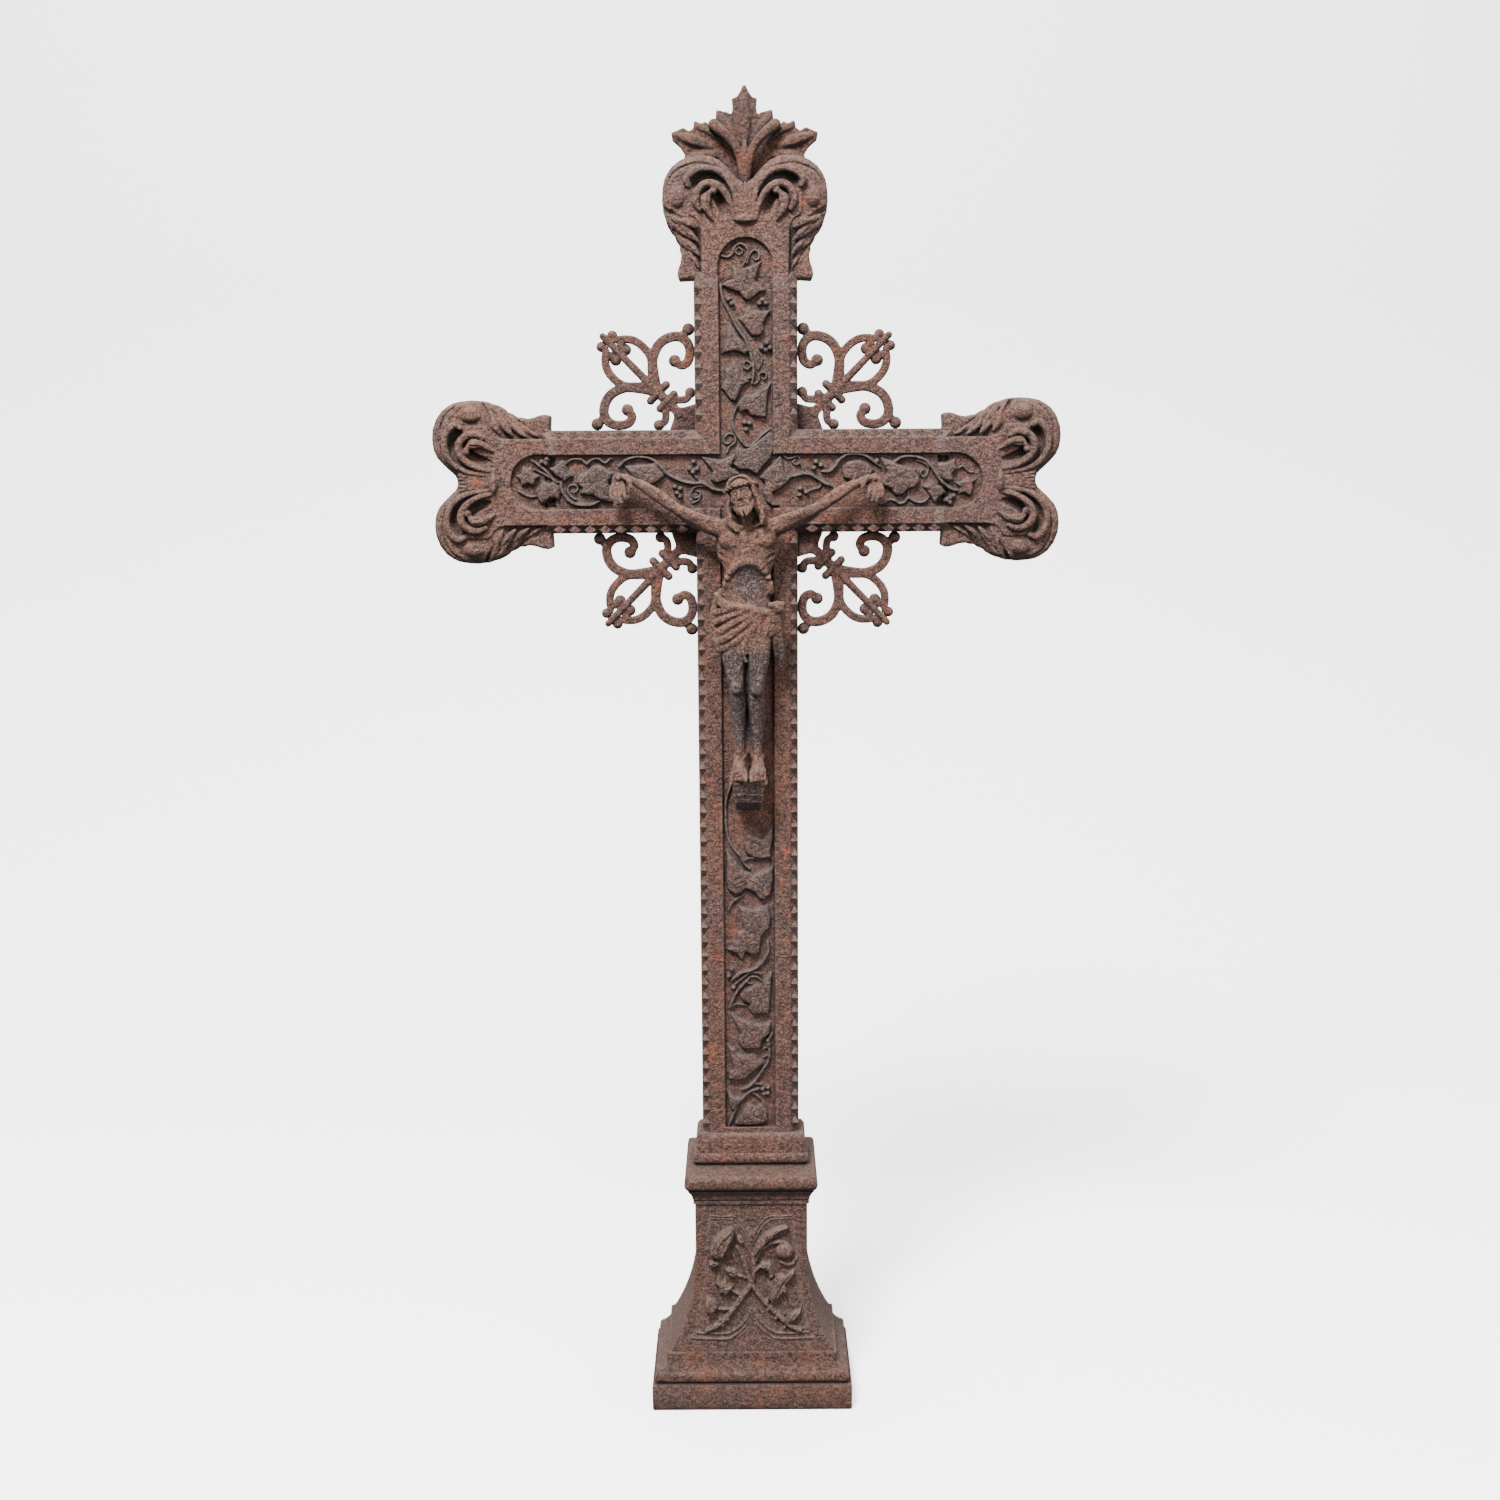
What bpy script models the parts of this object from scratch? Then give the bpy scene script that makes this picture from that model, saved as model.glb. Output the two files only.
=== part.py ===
"""A cast iron crucifix on a moulded pedestal.

Metres, +Z up. The origin is the middle of the pedestal's underside and the front faces -Y.
The cross, its brackets and its leaf are drawn in a face frame: a runs to the right, b up from the
middle of the crossing, and h out of the front towards the viewer. FACE turns it upright.
"""

import math

import bmesh
import bpy
from mathutils import Matrix, Vector

# Clearance between castings that touch
JOINT_GAP = 0.0003
# How far an ornament is sunk in the casting that carries it
SUNK = 0.0008

# Pedestal
PLINTH_WIDTH = 0.250
PLINTH_DEPTH = 0.150
PLINTH_HEIGHT = 0.0335
PLINTH_EDGE = 0.0020
BEAD_HEIGHT = 0.0155
BEAD_SETBACK = 0.0035
COVE_HEIGHT = 0.0145
FILLET_HEIGHT = 0.0090
DIE_WIDTH = 0.139
DIE_DEPTH = 0.112
DIE_HEIGHT = 0.200
FLARE_HEIGHT = 0.140
FLARE_SIDE = 0.0330
FLARE_FRONT = 0.0045
NECK_COVE_HEIGHT = 0.0140
LIP_HEIGHT = 0.0190
LIP_PROJECTION = 0.0125

# Foot moulding of the cross, which stands on the pedestal
FOOT_TORUS_HEIGHT = 0.0145
FOOT_TORUS_PROJECTION = 0.0040
FOOT_FASCIA_WIDTH = 0.136
FOOT_FASCIA_DEPTH = 0.052
FOOT_FASCIA_HEIGHT = 0.0215
FOOT_SHOULDER = 0.0045

# Cross
SHAFT_WIDTH = 0.120
ARM_WIDTH = 0.120
BEAM_DEPTH = 0.045
FRONT_CHAMFER = 0.0095
BACK_CHAMFER = 0.0040
SHAFT_LENGTH = 0.8045
STUD_PITCH = 0.018
STUD_SHARE = 0.94
STUD_HEIGHT = 0.0028
STUD_ROOT = 0.0002

# Sunk panel of the cross
PANEL_WIDTH = 0.064
PANEL_DEPTH = 0.0040
PANEL_SHORT_OF_BULB = 0.043
PANEL_FOOT_MARGIN = 0.006
ARCH_STEPS = 8

# Leaf scrolls at the three ends
BULB_RADIUS = 0.050
BULB_HALF_DEPTH = 0.0235
BULB_REACH = 0.320
BULB_OFFSET = 0.046
CORE_PAST_BULB = 0.018
SCROLL_LENGTH = 0.088
SCROLL_FOOT_RISE = 0.018
SCROLL_NECK_LENGTH = 0.058
SCROLL_NECK_RISE = 0.0135
SCROLL_NECK_DEPTH = 0.032
SCROLL_BEND = 0.012
RIM_ROLL = 0.0075
VOLUTE_ROLL = 0.0050
FLUTE_ROLL = 0.0030
FLUTE_SPACING = 0.0055
HUSK_SHORT_OF_BULB = 0.024
HUSK_RADIUS = 0.0068
SCROLL_VOXEL = 0.0025
SCROLL_KEEP = 0.016

# Ivy in the panel
LEAF_RIM = 0.0040
LEAF_PROUD = 0.0030
STEM_ROLL = 0.0022
BERRY_RADIUS = 0.0040
IVY_CLEARANCE = 0.0010

# Crown leaf
CROWN_HEIGHT = 0.1105
CROWN_HALF_DEPTH = 0.0050
CROWN_RIB = 0.0060
CROWN_LOBE_STEP = 0.0006
CROWN_STEM_WIDTH = 0.016
CROWN_STEM_DEPTH = 0.020
CROWN_CURL_ROLL = 0.0042
CROWN_SEAT_CLEARANCE = 0.0012
CROWN_VOXEL = 0.0016
CROWN_KEEP = 0.020

# Corner brackets
BRACKET_SPAN = 0.117
BRACKET_STRIP = 0.0042
BRACKET_BALL = 0.0054
BRACKET_DEPTH_STRETCH = 1.5
SHIELD_WIDTH = 0.0316
SHIELD_DEPTH = 0.018
COLLAR_WIDTH = 0.024
COLLAR_LENGTH = 0.0075
BRACKET_KEEP = 0.62

# Figure
FIGURE_HEIGHT = 0.360
FIGURE_SOLE_DROP = 0.351
FIGURE_VOXEL = 0.0025
FIGURE_KEEP = 0.048
FOOT_BLOCK_WIDTH = 0.046
FOOT_BLOCK_HEIGHT = 0.046
FOOT_BLOCK_PROJECTION = 0.036
FOOT_BLOCK_TOE = 0.016
FOOT_BLOCK_LIP = 0.0045
PALM_LUG_RADIUS = 0.0055

# Flower relief on the die
SPRIG_STEM_ROLL = 0.0019
SPRIG_LEAF_RISE = 0.0040
BORDER_ROLL = 0.0014
BORDER_SPACING = 0.0052

# Reaches from the crossing that follow from the place of the bulbs
CORE_REACH = BULB_REACH + CORE_PAST_BULB
PANEL_REACH = BULB_REACH - PANEL_SHORT_OF_BULB
HUSK_REACH = BULB_REACH - HUSK_SHORT_OF_BULB
SCROLL_FOOT_REACH = BULB_REACH - SCROLL_LENGTH
SCROLL_NECK_REACH = BULB_REACH - SCROLL_NECK_LENGTH

# Heights and planes that follow from the sizes above
BASE_TOP = PLINTH_HEIGHT + BEAD_HEIGHT + COVE_HEIGHT + FILLET_HEIGHT
DIE_TOP = BASE_TOP + DIE_HEIGHT
PEDESTAL_TOP = DIE_TOP + NECK_COVE_HEIGHT + LIP_HEIGHT
FOOT_BOTTOM = PEDESTAL_TOP + JOINT_GAP
FOOT_TOP = FOOT_BOTTOM + FOOT_TORUS_HEIGHT + FOOT_FASCIA_HEIGHT + FOOT_SHOULDER
CROSSING_Z = FOOT_TOP + SHAFT_LENGTH
FRONT = BEAM_DEPTH / 2
PANEL_FLOOR = FRONT - PANEL_DEPTH
LEAF_TOP = FRONT + LEAF_PROUD
FIGURE_BACK = LEAF_TOP + JOINT_GAP
CROWN_BOTTOM = CORE_REACH + JOINT_GAP
FOOT_BLOCK_RISE = FIGURE_HEIGHT / 30
FACE = Matrix.Rotation(math.radians(90), 4, "X")

# Half outlines of leaves: degrees from the tip's axis, and the share of the leaf's length
IVY = ((0, 1.00), (30, 0.56), (57, 0.86), (95, 0.50), (132, 0.68))
ROSE_LEAF = ((0, 1.00), (24, 0.66), (62, 0.42), (118, 0.42), (156, 0.66), (180, 1.00))
CROWN_LOBE = ((0, 1.00), (9, 0.70), (17, 0.74), (24, 0.42), (70, 0.16), (180, 0.10))

# Ivy leaves of the four branches: share of the branch from the crossing outwards, share of the
# panel's width across it, the leaf's length in panel widths, and degrees its tip is turned from up
IVY_LEAVES = {
    "left": (
        (0.949, 0.094, 0.344, 105), (0.852, -0.219, 0.375, 190), (0.787, 0.188, 0.328, 15),
        (0.664, -0.047, 0.469, 60), (0.440, 0.125, 0.313, -60),
    ),
    "right": (
        (0.946, -0.047, 0.344, -80), (0.866, 0.203, 0.344, 30), (0.816, -0.234, 0.359, 200),
        (0.671, 0.063, 0.484, -25),
    ),
    "upper": (
        (0.845, 0.063, 0.406, 180), (0.686, 0.234, 0.344, -20), (0.585, -0.219, 0.344, 150),
        (0.440, -0.266, 0.344, 60), (0.354, 0.219, 0.344, -75),
    ),
    "lower": (
        (0.540, 0.109, 0.484, -20), (0.601, -0.266, 0.422, 120), (0.616, 0.313, 0.406, -80),
        (0.673, 0.094, 0.469, 30), (0.716, -0.188, 0.469, 165), (0.771, 0.266, 0.438, -60),
        (0.825, 0.063, 0.484, 20), (0.884, -0.188, 0.469, 110), (0.929, 0.188, 0.422, -50),
        (0.977, 0.000, 0.344, 200),
    ),
}
# Leaves around the crossing: right, up and length in panel widths, and degrees turned
CROSSING_LEAVES = (
    (-0.344, 0.625, 0.531, 30), (0.250, 0.813, 0.469, -20), (0.594, 0.281, 0.469, -70),
    (-0.688, -0.031, 0.406, 100),
)
# Ivy stems as waves: branch, (share, across) of both ends, number of half waves
IVY_STEMS = (
    ("left", (0.931, -0.156), (0.596, -0.188), 3),
    ("right", (0.931, 0.156), (0.596, -0.188), 3),
    ("upper", (0.740, -0.250), (0.289, 0.188), 3),
    ("lower", (0.511, 0.000), (0.983, 0.000), 7),
)
STEM_SWING = 0.22
LONG_STEM_SWING = 0.33
IVY_BERRIES = (
    ("upper", 0.765, 0.375), ("upper", 0.578, 0.328), ("left", 0.892, 0.406), ("right", 0.744, -0.375),
    ("lower", 0.589, -0.375), ("lower", 0.651, 0.391),
)
# Curl at the top of the upper stem: share of the branch, across, and its radii in panel widths
IVY_CURL = (0.910, -0.125, 0.156, 0.047)

# Flower sprigs in shares of the die: stems, leaves (across, up, length, degrees turned), buds
# (across, up, half width, half height, rise in metres), and the border lines of the right half
SPRIG_CROSSING = (-0.022, 0.420)
SPRIG_STEMS = (
    ((-0.396, 0.160), (-0.216, 0.275), SPRIG_CROSSING, (0.086, 0.535), (0.245, 0.585), (0.281, 0.650)),
    ((0.367, 0.165), (0.187, 0.275), SPRIG_CROSSING, (-0.072, 0.565), (-0.173, 0.660), (-0.259, 0.695)),
)
SPRIG_LEAVES = (
    (-0.122, 0.545, 0.080, 70), (-0.230, 0.450, 0.090, 110), (-0.338, 0.325, 0.080, 125),
    (0.101, 0.600, 0.065, -60), (0.223, 0.455, 0.090, -75), (0.317, 0.300, 0.075, -110),
    (0.187, 0.790, 0.130, -49),
)
SPRIG_BUDS = ((-0.259, 0.740, 0.072, 0.0625, 0.0070), (0.281, 0.700, 0.065, 0.045, 0.0075))
BORDER_LINES = (
    ((0.360, 0.935), (0.187, 0.935), (0.101, 0.905), (0.065, 0.870)),
    ((0.460, 0.115), (0.245, 0.115), (0.115, 0.155), (0.043, 0.245)),
)

# Lobes on the back of each bulb: inwards and outwards from its centre and length in bulb radii,
# and degrees turned
SCROLL_LOBES = ((0.48, 0.52, 0.40, 60), (0.82, 0.36, 0.34, 75), (1.16, 0.28, 0.30, 80))

# Crown lobes: share of the height, and degrees from upright
CROWN_LOBES = ((1.00, 0), (0.76, 31), (0.87, 52), (1.05, 69), (0.84, 84))

# Strips of a bracket's half, in shares of its span: p along the beam and q along the other beam
BRACKET_OUTER = ((0.370, 0.400), (0.395, 0.580), (0.365, 0.740), (0.290, 0.875), (0.175, 0.915),
                 (0.080, 0.855), (0.052, 0.745), (0.095, 0.655), (0.190, 0.635), (0.215, 0.700))
BRACKET_INNER = ((0.390, 0.530), (0.445, 0.725), (0.540, 0.855), (0.690, 0.885), (0.725, 0.800), (0.670, 0.775))
BRACKET_CURL = ((0.260, 0.280), (0.175, 0.325), (0.085, 0.315))
BRACKET_LEAF = ((0.690, 0.885), (0.800, 0.915), (0.850, 0.935))
COLLAR_PLACES = (0.300, 0.385)

# Body of the figure, in 360ths of its height above the sole, x to the right and y from its back
# plane. A limb is a chain of points, each with its radius.
TORSO_MASSES = (
    ((1, -22, 272), (36, 19, 32)), ((-15, -34, 280), (19, 10, 15)), ((18, -34, 281), (19, 10, 15)),
    ((1, -22, 240), (30, 17, 30)), ((0, -27, 224), (23, 13, 26)), ((-3, -22, 200), (34, 19, 24)),
    ((-5, -20, 186), (36, 19, 22)),
)
LEFT_ARM = ((-30, -24, 300, 12), (-52, -25, 309, 9.5), (-76, -22, 320, 8.2), (-92, -19, 329, 6.6),
            (-112, -17, 341, 7.2), (-141, -12, 358, 4.6), (-150, -9, 352, 6.0))
RIGHT_ARM = ((30, -24, 302, 12), (52, -25, 309, 9.5), (76, -22, 319, 8.2), (92, -19, 326, 6.6),
             (112, -17, 338, 7.2), (141, -12, 356, 4.6), (149, -9, 350, 6.0))
LEFT_LEG = ((-18, -22, 186, 18), (-16, -28, 150, 16), (-13, -36, 113, 11), (-12.5, -27, 84, 10),
            (-12, -22, 60, 8.2), (-10.5, -20, 30, 6.0))
RIGHT_LEG = ((15, -22, 186, 17), (12, -29, 150, 15), (9, -37, 110, 11), (8, -27, 82, 9.5),
             (8.5, -22, 58, 8), (10.5, -20, 30, 6.2))
NECK = ((0, -20, 298, 11), (-2, -26, 316, 9.5))
HEAD_MASSES = (
    ((-4, -28, 336), (16, 17, 20)), ((-1, -33, 320), (10, 11, 10)), ((-20, -20, 334), (10, 11, 17)),
    ((13, -19, 334), (8, 11, 17)), ((-4, -20, 347), (19, 16, 10)),
)
HAIR_LOCKS = (
    ((-12, -28, 350, 4), (-25, -27, 338, 5), (-27, -25, 322, 5), (-19, -28, 309, 3)),
    ((-8, -34, 350, 3), (-20, -33, 336, 4), (-21, -31, 320, 4), (-14, -31, 308, 2.5)),
    ((8, -28, 349, 4), (17, -26, 336, 4.5), (19, -24, 321, 4.5), (21, -27, 310, 3)),
)
NOSE = ((-5, -43, 338, 2.4), (-4, -47, 330, 3.0))
FINGER_SPREAD = (-4.5, -1.5, 1.5, 4.5)
FEET = ((-11, -1), (11, 1))
CLOTH_FOLDS = (
    ((-36, -22, 216, 4), (-22, -38, 206, 5), (2, -42, 200, 6), (34, -26, 203, 5)),
    ((-42, -22, 197, 5), (-26, -40, 190, 5), (2, -44, 196, 5), (34, -28, 202, 5)),
    ((-43, -22, 184, 5), (-28, -42, 176, 6), (0, -45, 188, 5), (32, -30, 199, 4)),
    ((-40, -22, 168, 5), (-26, -43, 162, 6), (-2, -44, 178, 5), (30, -32, 194, 4)),
    ((-34, -22, 154, 4), (-22, -42, 152, 5), (-4, -42, 168, 5), (24, -36, 186, 5)),
)
CLOTH_KNOT = ((36, -26, 205), (8.5, 9, 8.5))
CLOTH_TAIL = ((35, -22, 198, 4), (38, -21, 172, 5), (42, -19, 146, 4), (40, -14, 122, 3))
CROWN_OF_THORNS = ((-4, -27, 350), 18, 4, -8)


def clear_scene():
    for item in list(bpy.data.objects):
        bpy.data.objects.remove(item, do_unlink=True)


def make_collection(name):
    collection = bpy.data.collections.new(name)
    bpy.context.scene.collection.children.link(collection)
    return collection


def make_material(name, colour, roughness, metallic):
    material = bpy.data.materials.new(name)
    material.use_nodes = True
    shader = material.node_tree.nodes["Principled BSDF"]
    shader.inputs["Base Color"].default_value = (*colour, 1)
    shader.inputs["Roughness"].default_value = roughness
    shader.inputs["Metallic"].default_value = metallic
    return material


def make_object(name, mesh_builder, collection, matrix, material=None):
    """Turn a bmesh into a named object, placed by its matrix."""
    bmesh.ops.recalc_face_normals(mesh_builder, faces=mesh_builder.faces)
    mesh = bpy.data.meshes.new(name)
    mesh_builder.to_mesh(mesh)
    mesh_builder.free()
    made = bpy.data.objects.new(name, mesh)
    made.matrix_world = matrix
    collection.objects.link(made)
    if material:
        mesh.materials.append(material)
    else:
        made.hide_render = True
        made.display_type = "WIRE"
    return made


def add_boolean(carrier, operand, operation, overlapping=False):
    """Join or cut with another object. overlapping is for an operand of bodies that cross."""
    modifier = carrier.modifiers.new(operand.name, "BOOLEAN")
    modifier.operation = operation
    modifier.solver = "EXACT"
    modifier.object = operand
    modifier.use_self = overlapping


def thin_out(made, keep):
    """Drop the faces that carry least of the form."""
    thin = made.modifiers.new("thin", "DECIMATE")
    thin.ratio = keep


def blend(made, voxel, keep):
    """Melt overlapping bodies into one cast form of few faces."""
    remesh = made.modifiers.new("blend", "REMESH")
    remesh.mode = "VOXEL"
    remesh.voxel_size = voxel
    smooth = made.modifiers.new("smooth", "SMOOTH")
    smooth.factor = 0.5
    smooth.iterations = 2
    thin_out(made, keep)


def shade_rounded(made, degrees=40):
    made.data.shade_smooth()
    made.data.set_sharp_from_angle(angle=math.radians(degrees))


def add_box(mesh_builder, low, high):
    centre = (Vector(low) + Vector(high)) / 2
    size = Vector(high) - Vector(low)
    matrix = Matrix.Translation(centre) @ Matrix.Diagonal((*size, 1))
    return bmesh.ops.create_cube(mesh_builder, size=1, matrix=matrix)["verts"]


def add_ellipsoid(mesh_builder, centre, radii, segments=12, rings=6, turn=None):
    turn = turn or Matrix.Identity(4)
    matrix = Matrix.Translation(centre) @ turn @ Matrix.Diagonal((*radii, 1))
    bmesh.ops.create_uvsphere(mesh_builder, u_segments=segments, v_segments=rings, radius=1, matrix=matrix)


def add_ball(mesh_builder, centre, radius):
    """Small knob of few faces."""
    bmesh.ops.create_icosphere(mesh_builder, subdivisions=1, radius=radius, matrix=Matrix.Translation(centre))


def add_tube(mesh_builder, points, sides_step=0, matrix=None):
    """Round strip through points of (x, y, z, radius), from a curve with filled caps."""
    curve = bpy.data.curves.new("strip", "CURVE")
    curve.dimensions = "3D"
    curve.bevel_depth = 1
    curve.bevel_resolution = sides_step
    curve.use_fill_caps = True
    spline = curve.splines.new("POLY")
    spline.points.add(len(points) - 1)
    for point, (x, y, z, radius) in zip(spline.points, points):
        point.co = (x, y, z, 1)
        point.radius = radius
    strip = bpy.data.objects.new("strip", curve)
    bpy.context.scene.collection.objects.link(strip)
    graph = bpy.context.evaluated_depsgraph_get()
    mesh = bpy.data.meshes.new_from_object(strip.evaluated_get(graph))
    piece = bmesh.new()
    piece.from_mesh(mesh)
    bmesh.ops.remove_doubles(piece, verts=piece.verts, dist=1e-6)
    bmesh.ops.recalc_face_normals(piece, faces=piece.faces)
    if matrix:
        bmesh.ops.transform(piece, matrix=matrix, verts=piece.verts)
    piece.to_mesh(mesh)
    piece.free()
    mesh_builder.from_mesh(mesh)
    bpy.data.objects.remove(strip, do_unlink=True)
    bpy.data.curves.remove(curve)
    bpy.data.meshes.remove(mesh)


def add_outline(mesh_builder, outline, low, high):
    """Extrude a flat outline of (a, b) points from h = low to h = high. Returns its upper face."""
    corners = [mesh_builder.verts.new((a, b, low)) for a, b in outline]
    floor = mesh_builder.faces.new(corners)
    raised = bmesh.ops.extrude_face_region(mesh_builder, geom=[floor], use_keep_orig=True)["geom"]
    lifted = [item for item in raised if isinstance(item, bmesh.types.BMVert)]
    bmesh.ops.translate(mesh_builder, verts=lifted, vec=(0, 0, high - low))
    return next(item for item in raised if isinstance(item, bmesh.types.BMFace))


def arc(centre, radius, start, end, steps):
    """Points along an arc, angles in degrees."""
    points = []
    for step in range(steps + 1):
        angle = math.radians(start + (end - start) * step / steps)
        points.append((centre[0] + radius * math.cos(angle), centre[1] + radius * math.sin(angle)))
    return points


def spiral(centre, radii, angles, height, rolls, steps):
    """Points of (a, b, h, radius) on a spiral that shrinks from the first radius to the last."""
    points = []
    for step in range(steps + 1):
        share = step / steps
        angle = math.radians(angles[0] + (angles[1] - angles[0]) * share)
        reach = radii[0] + (radii[1] - radii[0]) * share
        roll = rolls[0] + (rolls[1] - rolls[0]) * share
        points.append((centre[0] + reach * math.cos(angle), centre[1] + reach * math.sin(angle), height, roll))
    return points


def leaf_points(half, length, turn, centre):
    """Both halves of a leaf outline, its tip turned by degrees from +b."""
    angles = [(degrees, share) for degrees, share in half]
    angles += [(-degrees, share) for degrees, share in reversed(half) if degrees not in (0, 180)]
    points = []
    for degrees, share in angles:
        direction = math.radians(90 + turn + degrees)
        points.append((
            centre[0] + length * share * math.cos(direction),
            centre[1] + length * share * math.sin(direction),
        ))
    return points


def add_leaf(mesh_builder, half, length, turn, centre, heights):
    """Raised leaf: its root, its rim and its middle are at the three heights."""
    root, rim, middle = heights
    top = add_outline(mesh_builder, leaf_points(half, length, turn, centre), root, rim)
    bmesh.ops.poke(mesh_builder, faces=[top], offset=middle - rim)


def add_low_leaf(mesh_builder, half, length, turn, centre, heights):
    """Leaf that slopes from its middle straight down to its rim, which is sunk in what carries it."""
    root, middle = heights
    outline = leaf_points(half, length, turn, centre)
    rim = [mesh_builder.verts.new((a, b, root)) for a, b in outline]
    crest = mesh_builder.verts.new((*centre, middle))
    mesh_builder.faces.new(reversed(rim))
    for corner, following in zip(rim, rim[1:] + rim[:1]):
        mesh_builder.faces.new((corner, following, crest))


def mirrored(points, matrix):
    """A strip's points moved by a matrix that keeps its radii."""
    moved = []
    for a, b, h, roll in points:
        place = matrix @ Vector((a, b, h))
        moved.append((*place, roll))
    return moved


def round_steps(centre_z, half_height, projection, steps=4):
    """Heights and projections of a half round moulding."""
    rows = []
    for step in range(steps + 1):
        angle = math.radians(-90 + 180 * step / steps)
        rows.append((centre_z + half_height * math.sin(angle), projection * math.cos(angle)))
    return rows


def add_lofted_rings(mesh_builder, rings):
    """Stack of rectangles (half width, half depth, z) joined by side faces, closed at both ends."""
    loops = []
    for half_width, half_depth, z in rings:
        corners = ((-1, -1), (1, -1), (1, 1), (-1, 1))
        loops.append([mesh_builder.verts.new((x * half_width, y * half_depth, z)) for x, y in corners])
    mesh_builder.faces.new(reversed(loops[0]))
    mesh_builder.faces.new(loops[-1])
    for lower, upper in zip(loops, loops[1:]):
        for corner in range(4):
            following = (corner + 1) % 4
            mesh_builder.faces.new((lower[corner], lower[following], upper[following], upper[corner]))


def pedestal_rings():
    """Outline of the pedestal from its underside to its top."""
    plinth_x = PLINTH_WIDTH / 2
    plinth_y = PLINTH_DEPTH / 2
    die_x = DIE_WIDTH / 2
    die_y = DIE_DEPTH / 2
    flare_x = die_x + FLARE_SIDE
    flare_y = die_y + FLARE_FRONT
    bead_top = PLINTH_HEIGHT + BEAD_HEIGHT
    cove_top = bead_top + COVE_HEIGHT
    rings = [
        (plinth_x - PLINTH_EDGE, plinth_y - PLINTH_EDGE, 0),
        (plinth_x, plinth_y, PLINTH_EDGE),
        (plinth_x, plinth_y, PLINTH_HEIGHT),
    ]
    bead_x = plinth_x - 2 * BEAD_SETBACK
    bead_y = plinth_y - 2 * BEAD_SETBACK
    for z, out in round_steps(PLINTH_HEIGHT + BEAD_HEIGHT / 2, BEAD_HEIGHT / 2, BEAD_SETBACK):
        rings.append((bead_x + out, bead_y + out, z))
    # Cove between the bead and the fillet under the die
    for share in (0.35, 0.7, 1.0):
        drawn = math.sin(math.radians(90 * share))
        half_x = bead_x + (flare_x + BEAD_SETBACK - bead_x) * drawn
        half_y = bead_y + (flare_y + BEAD_SETBACK - bead_y) * drawn
        rings.append((half_x, half_y, bead_top + (cove_top - bead_top) * share))
    rings.append((flare_x + BEAD_SETBACK, flare_y + BEAD_SETBACK, BASE_TOP))
    # Flared foot of the die
    for share in (0.0, 0.1, 0.2, 0.35, 0.55, 0.8, 1.0):
        flare = (1 - share) ** 2.6
        rings.append((die_x + FLARE_SIDE * flare, die_y + FLARE_FRONT * flare, BASE_TOP + FLARE_HEIGHT * share))
    rings.append((die_x, die_y, DIE_TOP))
    # Cove under the lip, and the lip
    for share in (0.5, 1.0):
        drawn = 1 - math.cos(math.radians(90 * share))
        out = LIP_PROJECTION * 0.6 * drawn
        rings.append((die_x + out, die_y + out, DIE_TOP + NECK_COVE_HEIGHT * share))
    lip_middle = DIE_TOP + NECK_COVE_HEIGHT + LIP_HEIGHT / 2
    lip_root = LIP_PROJECTION * 0.6
    for z, out in round_steps(lip_middle, LIP_HEIGHT / 2, LIP_PROJECTION - lip_root):
        rings.append((die_x + lip_root + out, die_y + lip_root + out, z))
    return merge_equal_rings(rings)


def merge_equal_rings(rings):
    kept = [rings[0]]
    for ring in rings[1:]:
        if max(abs(one - other) for one, other in zip(ring, kept[-1])) > 1e-6:
            kept.append(ring)
    return kept


def on_die(across, up):
    """Place on the die's front: shares of its width from the middle and of its height from its foot."""
    return across * DIE_WIDTH, BASE_TOP + up * DIE_HEIGHT


def sprig_relief():
    """Two flower sprigs that cross low on the die, with thin border lines above and below."""
    relief = bmesh.new()
    for path in SPRIG_STEMS:
        add_tube(relief, [(*on_die(*place), 0, SPRIG_STEM_ROLL) for place in path])
    for across, up, length, turn in SPRIG_LEAVES:
        levels = (-SUNK, SPRIG_LEAF_RISE)
        add_low_leaf(relief, ROSE_LEAF, length * DIE_HEIGHT, turn, on_die(across, up), levels)
    for across, up, wide, tall, rise in SPRIG_BUDS:
        add_ellipsoid(relief, (*on_die(across, up), 0), (wide * DIE_WIDTH, tall * DIE_HEIGHT, rise), 8, 4)
    for side in (-1, 1):
        for drop in (0, BORDER_SPACING):
            for path in BORDER_LINES:
                line = [on_die(side * across, up) for across, up in path]
                add_tube(relief, [(a, b - drop, 0, BORDER_ROLL) for a, b in line])
    return relief


def make_pedestal(parts, cutters, iron):
    body = bmesh.new()
    add_lofted_rings(body, pedestal_rings())
    pedestal = make_object("pedestal", body, parts, Matrix.Identity(4), iron)
    die_front = Matrix.Translation((0, -DIE_DEPTH / 2, 0)) @ FACE
    relief = make_object("sprigs", sprig_relief(), cutters, die_front)
    add_boolean(pedestal, relief, "UNION", overlapping=True)
    shade_rounded(pedestal)
    return pedestal


def plus_outline(half_shaft, half_arm, reach, foot, rounded):
    """Cross shaped outline. The three upper ends are square, or arched when rounded."""
    outline = [(half_shaft, foot), (half_shaft, -half_arm)]
    for turn, half, next_half in ((0, half_arm, half_shaft), (90, half_shaft, half_arm), (180, half_arm, half_shaft)):
        spin = Matrix.Rotation(math.radians(turn), 2)
        if rounded:
            end = arc((reach - half, 0), half, -90, 90, ARCH_STEPS)
        else:
            end = [(reach, -half), (reach, half)]
        outline += [tuple(spin @ Vector(point)) for point in end]
        if turn < 180:
            outline.append(tuple(spin @ Vector((next_half, half))))
    outline += [(-half_shaft, -half_arm), (-half_shaft, foot)]
    return outline


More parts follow.
